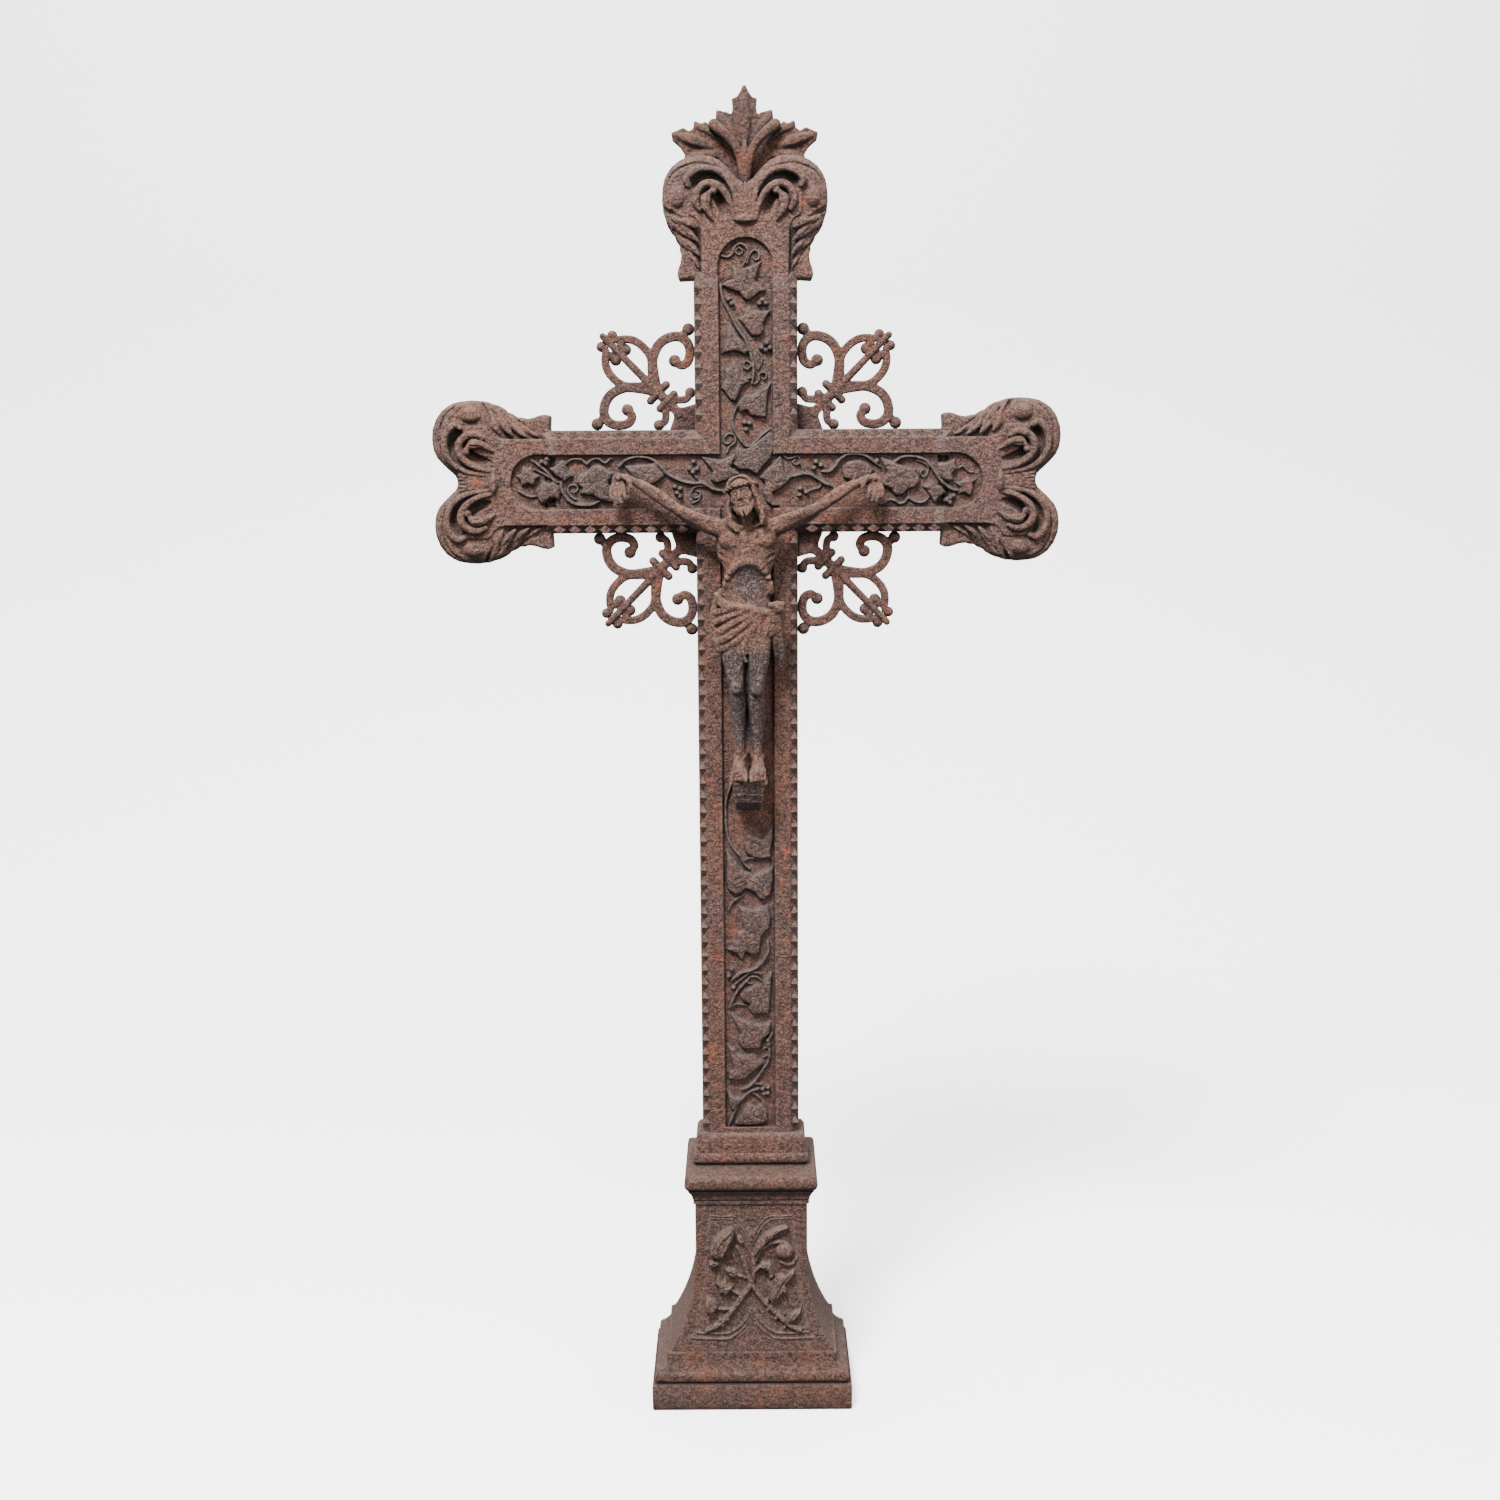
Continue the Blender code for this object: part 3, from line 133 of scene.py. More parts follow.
def path_distance(places, path):
    """Distance to a path whose points end in a radius, less the radius there."""
    nearest = None
    for start, end in zip(path, path[1:]):
        apart, share = to_segment(places, start[:-1], end[:-1])
        apart = apart - (start[-1] + (end[-1] - start[-1]) * share)
        nearest = apart if nearest is None else np.minimum(nearest, apart)
    return nearest


def to_side(points, side):
    """Points of a right half, or their mirror image where side is -1."""
    return [(side * x, *rest) for x, *rest in points]


class Clay:
    """Signed distances in millimetres on a grid, negative inside."""

    def __init__(self, low, high, voxel):
        self.voxel = voxel
        self.axes = [np.arange(a, b + voxel, voxel, dtype=np.float32) for a, b in zip(low, high)]
        self.field = np.full([len(axis) for axis in self.axes], FAR, np.float32)

    def window(self, low, high, margin):
        slices = []
        places = []
        for number, (axis, a, b) in enumerate(zip(self.axes, low, high)):
            start, stop = np.searchsorted(axis, (a - margin, b + margin))
            slices.append(slice(start, stop))
            shape = [1, 1, 1]
            shape[number] = -1
            places.append(axis[start:stop].reshape(shape))
        return tuple(slices), places

    def merge(self, slices, distance, soft, cut):
        old = self.field[slices]
        if cut:
            self.field[slices] = -soft_min(-old, distance, soft)
        else:
            self.field[slices] = soft_min(old, distance, soft)

    def stroke(self, points, soft=1.0, cut=False, steps=3, flat=None):
        """Round strip through points of (x, y, z, radius). flat squeezes it along z by that factor."""
        path = catmull(points, steps) if len(points) > 2 else np.array(points, np.float32)
        reach = float(path[:, 3].max()) * max(1, flat or 1) + soft + 2 * self.voxel
        slices, places = self.window(path[:, :3].min(0), path[:, :3].max(0), reach)
        if flat:
            places = [places[0], places[1], places[2] / flat]
            path = [(x, y, z / flat, radius) for x, y, z, radius in path]
        self.merge(slices, path_distance(places, path), soft, cut)

    def ellipsoid(self, centre, radii, soft=1.0, cut=False, turn=None):
        reach = max(radii) if turn else 0
        spread = np.array([max(reach, radius) for radius in radii])
        centre = np.array(centre, np.float32)
        slices, places = self.window(centre - spread, centre + spread, soft + 2 * self.voxel)
        offsets = [place - middle for place, middle in zip(places, centre)]
        if turn:
            back = np.array(turn.to_3x3().transposed())
            offsets = [sum(back[row][column] * offsets[column] for column in range(3)) for row in range(3)]
        near = np.sqrt(sum((offset / radius) ** 2 for offset, radius in zip(offsets, radii)))
        steep = np.sqrt(sum((offset / radius ** 2) ** 2 for offset, radius in zip(offsets, radii)))
        self.merge(slices, near * (near - 1) / np.maximum(steep, 1e-6), soft, cut)

    def slab(self, outline, low, high, rounding, soft=0.5, cut=False):
        """Flat outline in x and y between two levels of z, its edges rounded."""
        corners = np.array(outline, np.float32)
        slices, places = self.window((*corners.min(0), low), (*corners.max(0), high), soft + 2 * self.voxel)
        x, y = places[0][:, :, 0], places[1][:, :, 0]
        flat = polygon_distance(x, y, [tuple(corner) for corner in corners])[:, :, None]
        self.merge(slices, self.rounded(flat, places[2], low, high, rounding), soft, cut)

    @staticmethod
    def rounded(flat, z, low, high, rounding):
        tall = np.abs(z - (low + high) / 2) - (high - low) / 2 + rounding
        flat = flat + rounding
        outside = np.sqrt(np.maximum(flat, 0) ** 2 + np.maximum(tall, 0) ** 2)
        return outside + np.minimum(np.maximum(flat, tall), 0) - rounding

    def strip(self, points, half_depth, rounding, soft=0.5, steps=4):
        """Upright strip through points of (x, y, half width), as deep on both sides of z = 0."""
        path = catmull(points, steps)
        reach = float(path[:, 2].max()) + soft + 2 * self.voxel
        low = (*path[:, :2].min(0), -half_depth)
        high = (*path[:, :2].max(0), half_depth)
        slices, places = self.window(low, high, reach)
        flat = path_distance(places[:2], path)
        self.merge(slices, self.rounded(flat, places[2], -half_depth, half_depth, rounding), soft, False)

    def limit(self, axis, value, keep_above):
        """Cut everything off on one side of a plane."""
        shape = [1, 1, 1]
        shape[axis] = -1
        place = self.axes[axis].reshape(shape)
        beyond = value - place if keep_above else place - value
        self.field = np.maximum(self.field, beyond)

    def skin(self):
        """Vertices and four-sided faces of the surface, one vertex for each cell that it crosses."""
        field = self.field
        for axis in range(3):
            edge = [slice(None)] * 3
            for end in (0, -1):
                edge[axis] = end
                field[tuple(edge)] = np.maximum(field[tuple(edge)], self.voxel / 2)
        inside = field < 0
        corners = [(i, j, k) for i in (0, 1) for j in (0, 1) for k in (0, 1)]
        count = np.zeros([n - 1 for n in field.shape], np.int8)
        for i, j, k in corners:
            count += inside[i:i + count.shape[0], j:j + count.shape[1], k:k + count.shape[2]]
        mixed = (count > 0) & (count < 8)
        cells = np.argwhere(mixed)
        number = np.full(mixed.shape, -1, np.int64)
        number[mixed] = np.arange(len(cells))
        total = np.zeros((len(cells), 3), np.float32)
        crossings = np.zeros(len(cells), np.float32)
        for first in corners:
            for axis in range(3):
                if first[axis]:
                    continue
                second = list(first)
                second[axis] = 1
                near = field[tuple((cells + first).T)]
                far = field[tuple((cells + second).T)]
                crossed = (near < 0) != (far < 0)
                share = np.where(crossed, near / np.where(crossed, near - far, 1), 0)
                place = np.array(first, np.float32) + np.zeros((len(cells), 3), np.float32)
                place[:, axis] += share
                total += place * crossed[:, None]
                crossings += crossed
        low = np.array([axis[0] for axis in self.axes])
        vertices = low + self.voxel * (cells + total / crossings[:, None])
        faces = []
        for axis in range(3):
            one, two = (axis + 1) % 3, (axis + 2) % 3
            low_end = [slice(None)] * 3
            high_end = [slice(None)] * 3
            low_end[axis] = slice(0, -1)
            high_end[axis] = slice(1, None)
            changed = np.argwhere(inside[tuple(low_end)] != inside[tuple(high_end)])
            changed = changed[(changed[:, one] > 0) & (changed[:, two] > 0)]
            quad = []
            for back_one, back_two in ((1, 1), (0, 1), (0, 0), (1, 0)):
                cell = changed.copy()
                cell[:, one] -= back_one
                cell[:, two] -= back_two
                quad.append(number[tuple(cell.T)])
            quad = np.array(quad).T
            outward = inside[tuple(changed.T)]
            quad[~outward] = quad[~outward][:, ::-1]
            faces.append(quad)
        return vertices, np.vstack(faces)


def link_object(name, data):
    made = bpy.data.objects.new(name, data)
    bpy.context.scene.collection.objects.link(made)
    return made


def add_object(name, mesh, material, replaced):
    """Object of a mesh, riding on the part's one body."""
    made = link_object(name, mesh)
    mesh.materials.append(material)
    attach(made, "root")
    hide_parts(*replaced)
    return made


def make_mesh(name, vertices, faces, matrix, material, replaced):
    """Smooth mesh object in the world."""
    mesh = bpy.data.meshes.new(name)
    mesh.from_pydata([tuple(v) for v in vertices], [], [tuple(f) for f in faces])
    mesh.transform(matrix)
    if matrix.determinant() < 0:
        mesh.flip_normals()
    mesh.update()
    mesh.shade_smooth()
    return add_object(name, mesh, material, replaced)


def make_clay_mesh(name, clay, matrix, material, replaced):
    vertices, faces = clay.skin()
    return make_mesh(name, vertices, faces, matrix, material, replaced)


# Rusted iron


def linear(red, green, blue):
    """Linear colour from the 0 to 255 values of a screen."""
    return tuple(((value / 255 + 0.055) / 1.055) ** 2.4 for value in (red, green, blue))


# IRON_DARK is the colour of the painted shade on undersides and in hollows
IRON_DARK = linear(18, 10, 8)
IRON_RUST = linear(128, 60, 28)
# Dark with grey flecks of the figure's legs and belly, also used as painted shade on the foot block
BURNT_AND_SHADED_IRON = linear(26, 16, 15)
BURNT_AND_SHADED_FLECK = linear(86, 74, 74)


def add_node(tree, kind, links=(), **values):
    """Node with its values set and its inputs linked from (input name, output socket) pairs."""
    node = tree.nodes.new(kind)
    for name, value in values.items():
        if hasattr(node, name):
            setattr(node, name, value)
        else:
            node.inputs[name.replace("_", " ")].default_value = value
    for name, socket in links:
        tree.links.new(socket, node.inputs[name])
    return node


def noise(tree, place, scale, detail=4.0, roughness=0.6):
    node = add_node(tree, "ShaderNodeTexNoise", [("Vector", place)],
                    Scale=scale, Detail=detail, Roughness=roughness)
    return node.outputs["Fac"]


def steps_between(tree, value, low, high):
    """Smooth step of a value from 0 at low to 1 at high."""
    node = add_node(tree, "ShaderNodeMapRange", [("Value", value)], interpolation_type="SMOOTHSTEP",
                    From_Min=low, From_Max=high)
    return node.outputs["Result"]


def mix_colour(tree, share, one, other):
    """Mix of two colours, each a socket or a (red, green, blue)."""
    node = add_node(tree, "ShaderNodeMix", data_type="RGBA")
    tree.links.new(share, node.inputs[0])
    for socket, colour in ((node.inputs[6], one), (node.inputs[7], other)):
        if isinstance(colour, tuple):
            socket.default_value = (*colour, 1)
        else:
            tree.links.new(colour, socket)
    return node.outputs[2]


def combine(tree, operation, one, other):
    node = add_node(tree, "ShaderNodeMath", operation=operation)
    for socket, value in zip(node.inputs, (one, other)):
        if isinstance(value, (int, float)):
            socket.default_value = value
        else:
            tree.links.new(value, socket)
    return node.outputs[0]


def multiply(tree, one, other):
    return combine(tree, "MULTIPLY", one, other)


def rusted_iron(name, base, worn, rust_amount, wear, dark=IRON_DARK, pits=0.5, dense=True, top_film_and_light=0.40,
                crevice=0.013, burnt_and_shaded=None):
    """Rough cast iron: brown rust, grey worn high spots, orange rust patches, and painted shade in hollows
    and under it.

    base and worn are colours as on a screen. dense says that the mesh is fine enough for its own vertices
    to tell where its edges are. film is how much pale lichen lies on upward faces, with painted top light,
    and crevice how far the painted shade in its hollows reaches, in metres. burnt makes a mask of the parts
    that are dark with grey flecks.
    """
    base = linear(*base)
    worn = linear(*worn)
    material = bpy.data.materials.new(name)
    material.use_nodes = True
    tree = material.node_tree
    shader = tree.nodes["Principled BSDF"]
    place = add_node(tree, "ShaderNodeTexCoord").outputs["Object"]
    geometry = add_node(tree, "ShaderNodeNewGeometry")

    broad = noise(tree, place, 11, 3)
    mottled = noise(tree, place, 150, 5, 0.75)
    grain = noise(tree, place, 480, 4, 0.75)
    blotches = noise(tree, place, 26, 5, 0.7)

    # Brown rust that drifts between two tones, speckled by the grain of the casting
    warm = tuple(value * factor for value, factor in zip(base, (1.22, 0.98, 0.84)))
    cool = tuple(value * factor for value, factor in zip(base, (0.82, 0.90, 1.04)))
    colour = mix_colour(tree, steps_between(tree, broad, 0.36, 0.64), cool, warm)
    mixed = combine(tree, "ADD", multiply(tree, mottled, 0.7), multiply(tree, grain, 1.3))
    speckle = steps_between(tree, mixed, 0.84, 1.16)
    deep = tuple(value * 0.26 for value in base)
    pale = tuple(value * 2.00 for value in base)
    colour = mix_colour(tree, steps_between(tree, speckle, 0.50, 1.05), colour, pale)
    colour = mix_colour(tree, steps_between(tree, speckle, 0.50, -0.05), colour, deep)

    # Orange rust in patches
    patch = steps_between(tree, blotches, 0.60 - 0.10 * rust_amount, 0.72)
    patch = multiply(tree, patch, steps_between(tree, mottled, 0.34, 0.62))
    colour = mix_colour(tree, multiply(tree, patch, rust_amount), colour, IRON_RUST)

    # Dark iron with grey flecks on the masked parts; on the foot block it is painted shade
    if burnt_and_shaded:
        mask = burnt_and_shaded(tree, place)
        mask = multiply(tree, mask, steps_between(tree, blotches, 0.34, 0.48))
        fleck = mix_colour(tree, steps_between(tree, speckle, 0.55, 1.00), BURNT_AND_SHADED_IRON, BURNT_AND_SHADED_FLECK)
        colour = mix_colour(tree, multiply(tree, mask, 0.85), colour, fleck)

    # Upward faces carry pale lichen, partly painted top light, and undersides get painted shade
    upward = add_node(tree, "ShaderNodeSeparateXYZ", [("Vector", geometry.outputs["Normal"])]).outputs["Z"]
    lying = multiply(tree, steps_between(tree, upward, 0.15, 0.95), steps_between(tree, mottled, 0.25, 0.6))
    colour = mix_colour(tree, multiply(tree, lying, top_film_and_light), colour, worn)
    under = steps_between(tree, upward, -0.10, -0.75)
    colour = mix_colour(tree, multiply(tree, under, 0.72), colour, dark)

    # Raised edges are worn to grey
    if dense:
        raised = steps_between(tree, geometry.outputs["Pointiness"], 0.505, 0.570)
    else:
        edge = add_node(tree, "ShaderNodeAmbientOcclusion", samples=2, inside=True, Distance=0.0035)
        raised = steps_between(tree, edge.outputs["AO"], 0.95, 0.45)
    raised = multiply(tree, raised, steps_between(tree, mottled, 0.30, 0.60))
    colour = mix_colour(tree, multiply(tree, raised, wear), colour, worn)

    # Painted shade in the hollows, where there is also some dark soot
    hollow = add_node(tree, "ShaderNodeAmbientOcclusion", samples=4, Distance=crevice)
    shade = steps_between(tree, hollow.outputs["AO"], 0.88, 0.30)
    colour = mix_colour(tree, multiply(tree, shade, 0.92), colour, dark)
    tree.links.new(colour, shader.inputs["Base Color"])

    roughness = add_node(tree, "ShaderNodeMapRange", [("Value", mottled)], To_Min=0.52, To_Max=0.88)
    tree.links.new(roughness.outputs["Result"], shader.inputs["Roughness"])
    shader.inputs["Metallic"].default_value = 0.15
    shader.inputs["Specular IOR Level"].default_value = 0.35

    # Sand-cast grain, coarser lumps and rust pits
    pit = steps_between(tree, noise(tree, place, 260, 2), 0.42, 0.28)
    lumps = multiply(tree, noise(tree, place, 210, 3, 0.6), 1.8)
    height = combine(tree, "ADD", grain, lumps)
    height = combine(tree, "SUBTRACT", height, multiply(tree, pit, pits))
    bump = add_node(tree, "ShaderNodeBump", [("Height", height)], Strength=0.9, Distance=0.0030)
    tree.links.new(bump.outputs["Normal"], shader.inputs["Normal"])
    return material


def burnt_limbs_and_block_shade(tree, place):
    """Mask of the dark, grey-flecked legs and belly, and painted shade on the foot block, which faces down.
    """
    height = add_node(tree, "ShaderNodeSeparateXYZ", [("Vector", place)]).outputs["Z"]
    legs = multiply(tree, steps_between(tree, height, *LEGS_FROM), steps_between(tree, height, *LEGS_TO))
    middle = add_node(tree, "ShaderNodeVectorMath", [(0, place)], operation="DISTANCE")
    middle.inputs[1].default_value = BELLY
    belly = steps_between(tree, middle.outputs["Value"], 0.027, 0.012)
    block = multiply(tree, steps_between(tree, height, *BLOCK_FROM), 0.85)
    return combine(tree, "MAXIMUM", combine(tree, "MAXIMUM", legs, block), belly)


# Heights in metres between which the legs' dark iron fades in at the ankles and out at the loincloth
LEGS_FROM = (0.832, 0.850)
LEGS_TO = (0.970, 0.948)
# Heights in metres between which the painted shade of the foot block fades in, as the block faces down
BLOCK_FROM = (0.7965, 0.7940)
# Middle of the dark patch on the belly, in metres
BELLY = (0.002, -0.060, 1.037)
cross_iron = rusted_iron("cross_iron", (70, 47, 39), (92, 77, 71), 0.64, 0.55, dense=False)
scroll_iron = rusted_iron("scroll_iron", (72, 50, 42), (96, 82, 72), 0.40, 0.60)
leaf_iron = rusted_iron("leaf_iron", (64, 47, 41), (88, 78, 75), 0.30, 0.60, crevice=0.008)
pedestal_iron = rusted_iron("pedestal_iron", (66, 46, 38), (88, 73, 66), 0.48, 0.50, dense=False, top_film_and_light=0.25)
flower_iron = rusted_iron("flower_iron", (74, 54, 46), (96, 82, 75), 0.30, 0.55, crevice=0.006)
crown_iron = rusted_iron("crown_iron", (62, 40, 31), (90, 72, 58), 0.60, 0.60)
bracket_iron = rusted_iron("bracket_iron", (66, 43, 35), (90, 75, 66), 0.60, 0.65)
# The figure's dark colour is its painted shade on undersides and in hollows
figure_iron = rusted_iron("figure_iron", (74, 50, 40), (112, 92, 80), 0.60, 0.60, dark=linear(22, 13, 11),
                          pits=0.9, burnt_and_shaded=burnt_limbs_and_block_shade)


# Leaf scrolls at the three ends: u outwards along the arm, v across it, h out of the front

BULB_OUTLINE = (
    (280, 50), (285.6, 84.7), (293, 89.5), (300, 92), (307, 94.5), (318, 95.5), (328, 95), (336, 94),
    (342.5, 92.5), (349.6, 89), (357, 83.5), (364, 74), (368.5, 62), (369.6, 50), (368, 38), (364, 29),
    (357, 21), (349.6, 14), (343, 8), (341, 3), (341, 0), (280, 0),
)
NECK_OUTLINE = (
    (225, 48), (231, 62), (230, 77), (236, 78.8), (243, 77.6), (250, 75), (257, 74), (264, 74), (271, 76.4),
    (278.5, 80), (285.6, 84.7), (293, 88), (300, 88), (300, 48),
)
PLATE_OUTLINE = (
    (222, 0), (222, 50), (284, 50.5), (291, 52), (298, 56.5), (302, 64), (306, 65.5), (334, 65), (341, 58),
    (345, 46), (344, 26), (338, 12), (336, 0),
)
# Rolled inner rim of the outer leaf, and its hooked end
RIM_PATH = (
    (298, 8, 22, 2.2), (314, 10, 23, 2.8), (330, 14, 23, 3.2), (343, 22, 23, 3.6), (351, 34, 23, 3.8),
    (353, 47, 23, 4.0), (349, 59, 23, 4.2), (341, 66.5, 23, 4.2), (334, 64, 22.5, 3.4),
)
# Hollow between the rim and the volute
RIM_HOLLOW = ((318, 14, 23, 1.6), (333, 21, 23, 2.4), (342, 32, 22, 3.4), (344, 45, 21, 4.6),
              (338, 56, 21, 4.6), (333, 58.5, 22, 2.0))
VOLUTE_PATH = (
    (297, 13, 22, 2.4), (312, 16, 24, 3.2), (326, 23, 25, 4.0), (335, 34, 25, 4.6), (335, 46, 25, 4.8),
    (327, 54, 25, 4.6), (316, 56, 24.5, 4.2), (308, 52, 24, 3.2),
)
VOLUTE_HOLLOW = ((302, 24, 24, 3.6), (313, 27, 22, 5.4), (322, 32, 22, 5.0), (327, 40, 23, 3.4),
                 (324, 46, 24, 2.4))
TONGUE_PATH = ((327, 39, 25, 3.0), (320, 45, 26, 4.6), (311, 45, 26, 4.4), (303, 41, 25, 3.2),
               (296, 36.5, 24, 1.2))
TONGUE_VEINS = (
    ((322, 48, 30.5, 1.0), (311, 47.5, 30, 1.1), (301, 41, 28, 0.7)),
    ((322, 43, 30, 0.9), (312, 42.5, 29.6, 1.0), (302, 38.5, 28, 0.6)),
)
EYE = ((328, 36, 24), (4.6, 4.6, 6))
TONGUE_HEAD = ((318, 45, 25), (7.5, 6.0, 6.5))
# Ball of leaf beside the rim and the crescents cut next to it
BERRY_BULGE = ((322, 78, 18), (13, 9.5, 8.5))
CRESCENTS = (
    ((308, 69.5, 23, 1.4), (320, 68.5, 24, 1.8), (334, 70.5, 23, 1.8), (343, 76, 20, 1.0)),
    ((334, 85, 20, 1.0), (340, 80, 21, 1.6), (342, 73, 22, 1.2), (348, 68, 22, 0.8)),
    ((340, 88, 17, 0.9), (350, 80, 18, 1.4), (357, 66, 19, 1.3), (359, 50, 19.5, 1.2), (354, 32, 20, 1.0)),
    ((346, 90, 13, 0.8), (359, 77, 13.5, 1.2), (364.5, 60, 14, 1.2), (364.5, 42, 14, 1.0),
     (358, 27, 14, 0.8)),
)
# Step between the bulb and the leaf that wraps it, and the lobes of that leaf over the chamfer
WRAP_STEP = ((314, 95, 6, 3.0), (309, 90, 14, 3.0), (303, 82, 20, 2.6), (299, 73, 22, 2.2),
             (300, 66, 24, 1.6))
WRAP_LOBES = (
    ((305, 84, 11, 7.0), (298, 73, 17, 6.2), (292, 63, 20.5, 4.0), (288, 57, 21, 1.6)),
    ((293, 80, 9, 7.0), (285, 69, 16, 6.0), (278, 60, 19.5, 3.6), (273, 54.5, 20.5, 1.4)),
    ((279, 74, 7, 6.5), (271, 65, 14, 5.4), (263, 57.5, 18, 3.4), (257, 53, 19.5, 1.2)),
    ((265, 70, 6, 6.0), (256, 62, 12, 4.6), (249, 56.5, 16, 2.8), (243, 53.5, 18, 1.0)),
)
WRAP_VEINS = (
    ((304, 90, 14, 0.9), (292, 79, 19, 1.3), (281, 67, 21.5, 1.1), (276, 60, 22.5, 0.6)),
    ((290, 87, 13, 0.9), (277, 74, 17, 1.3), (266, 64, 18.5, 1.1), (260, 57, 21, 0.6)),
    ((275, 78.5, 11, 0.9), (262, 68, 14, 1.2), (250, 60, 16, 1.0), (245, 56, 18, 0.5)),
)
# Flute of the middle, whose second places are spread five ways, and the husk at its foot
FLUTE = ((298, 1.9, 22.8, 1.2), (320, 3.0, 23.6, 1.5), (337, 4.4, 22.6, 1.7))
HUSK = (((296, 0, 21), (6, 10, 5), 2.0), ((297, 0, 24), (4.6, 13.0, 5.0), 1.0))
HUSK_GROOVE = ((289, -9, 25, 1.6), (287, 0, 28, 2.0), (289, 9, 25, 1.6))
# Long grooves on the outer side of the leaf, one for each of these depths
SIDE_GROOVES = ((-13, 1.2), (-5, 1.5), (4, 1.5))
SIDE_PATH = ((233, 80), (243, 78.5), (254, 75.5), (266, 75.5), (278, 80.5), (292, 90), (305, 95.5),
             (318, 96.5), (332, 95.8), (347, 91.5))


def make_end_clay():
    """One pair of leaf scrolls. The two halves are mirror images."""
    clay = Clay((222, -98, -27), (373, 98, 33), END_VOXEL)
    for side in (1, -1):
        flip = (1, side, 1, 1)

        def turned(points):
            return [tuple(value * sign for value, sign in zip(point, flip)) for point in points]

        clay.slab(turned(BULB_OUTLINE), -21, 20.5, 12)
        clay.slab(turned(NECK_OUTLINE), -16, 15, 4, soft=5)
        for lobe in WRAP_LOBES:
            clay.stroke(turned(lobe), soft=1.4)
            clay.stroke([(u, v, -h, roll) for u, v, h, roll in turned(lobe)], soft=3)
        (u, v, h), radii = BERRY_BULGE
        clay.ellipsoid((u, side * v, h), radii, soft=1.5)
        clay.slab(turned(PLATE_OUTLINE), -20, 22.45, 1.2, soft=0.6)
        for cut in (RIM_HOLLOW, VOLUTE_HOLLOW):
            clay.stroke(turned(cut), soft=1.2, cut=True, flat=1.3)
        clay.stroke(turned(RIM_PATH), soft=1.6)
        clay.stroke(turned(VOLUTE_PATH), soft=0.8)
        clay.stroke(turned(TONGUE_PATH), soft=0.6)
        for (u, v, h), radii in (EYE, TONGUE_HEAD):
            clay.ellipsoid((u, side * v, h), radii, soft=0.8)
        for vein in TONGUE_VEINS + CRESCENTS + WRAP_VEINS:
            clay.stroke(turned(vein), soft=0.8, cut=True)
        clay.stroke(turned(WRAP_STEP), soft=0.8, cut=True)
        for depth, roll in SIDE_GROOVES:
            clay.stroke([(u, side * v, depth, roll) for u, v in SIDE_PATH], soft=1.5, cut=True)
    # Flutes fan out from the husk to the notch between the bulbs
    for spread in (-2, -1, 0, 1, 2):
        clay.stroke([(u, spread * v, h, radius) for u, v, h, radius in FLUTE], 0.3)
    for place, radii, soft in HUSK:
        clay.ellipsoid(place, radii, soft)
    clay.stroke(HUSK_GROOVE, 0.8, cut=True)
    half = PANEL_WIDTH / 2
    middle = PANEL_REACH - half
    angles = [math.radians(-90 + 180 * step / 20) for step in range(21)]
    arch = [(middle + half * math.cos(angle), half * math.sin(angle)) for angle in angles]
    clay.slab([(200, -half)] + arch + [(200, half)], PANEL_FLOOR - 0.6, 40, 0.6, soft=0.6, cut=True)
    return clay


def make_scroll_ends():
    vertices, faces = make_end_clay().skin()
    for name, turn in (("scrolls_right", 0), ("scrolls_top", 90), ("scrolls_left", 180)):
        make_mesh(name, vertices, faces, face_matrix(turn), scroll_iron, ["cross"])


# Beams, studs and foot moulding


def plus_outline(half_shaft, half_arm, reach, foot, arch_steps=0):
    """Outline of a cross. Its three upper ends are square, or arched where there are arch steps."""
    outline = [(half_shaft, -foot), (half_shaft, -half_arm)]
    ends = ((0, half_arm, half_shaft), (90, half_shaft, half_arm), (180, half_arm, half_shaft))
    for turn, half, next_half in ends:
        if arch_steps:
            angles = [math.radians(-90 + 180 * step / arch_steps) for step in range(arch_steps + 1)]
            end = [(reach - half + half * math.cos(angle), half * math.sin(angle)) for angle in angles]
        else:
            end = [(reach, -half), (reach, half)]
        if turn < 180:
            end.append((next_half, half))
        spin = Matrix.Rotation(math.radians(turn), 2)
        outline += [tuple(spin @ Vector(point)) for point in end]
    return outline + [(-half_shaft, -half_arm), (-half_shaft, -foot)]


def offset_outline(outline, distance):
    """Closed outline moved inwards by a distance, corner by corner."""
    moved = []
    for index, point in enumerate(outline):
        here = Vector(point)
        before = (here - Vector(outline[index - 1])).normalized()
        after = (Vector(outline[(index + 1) % len(outline)]) - here).normalized()
        normal = Vector((-before.y - after.y, before.x + after.x)) / max(1 + before.dot(after), 0.2)
        moved.append(tuple(here + normal * distance))
    return moved


def join_loops(builder, loops):
    """Join loops of as many vertices into one closed body."""
    for lower, upper in zip(loops, loops[1:]):
        for index in range(len(lower)):
            following = (index + 1) % len(lower)
            builder.faces.new((lower[index], lower[following], upper[following], upper[index]))
    builder.faces.new(reversed(loops[0]))
    builder.faces.new(loops[-1])


def stack_outlines(builder, levels):
    """Join outlines of (points, h) with as many points into one closed body."""
    join_loops(builder, [[builder.verts.new((*point, h)) for point in outline] for outline, h in levels])


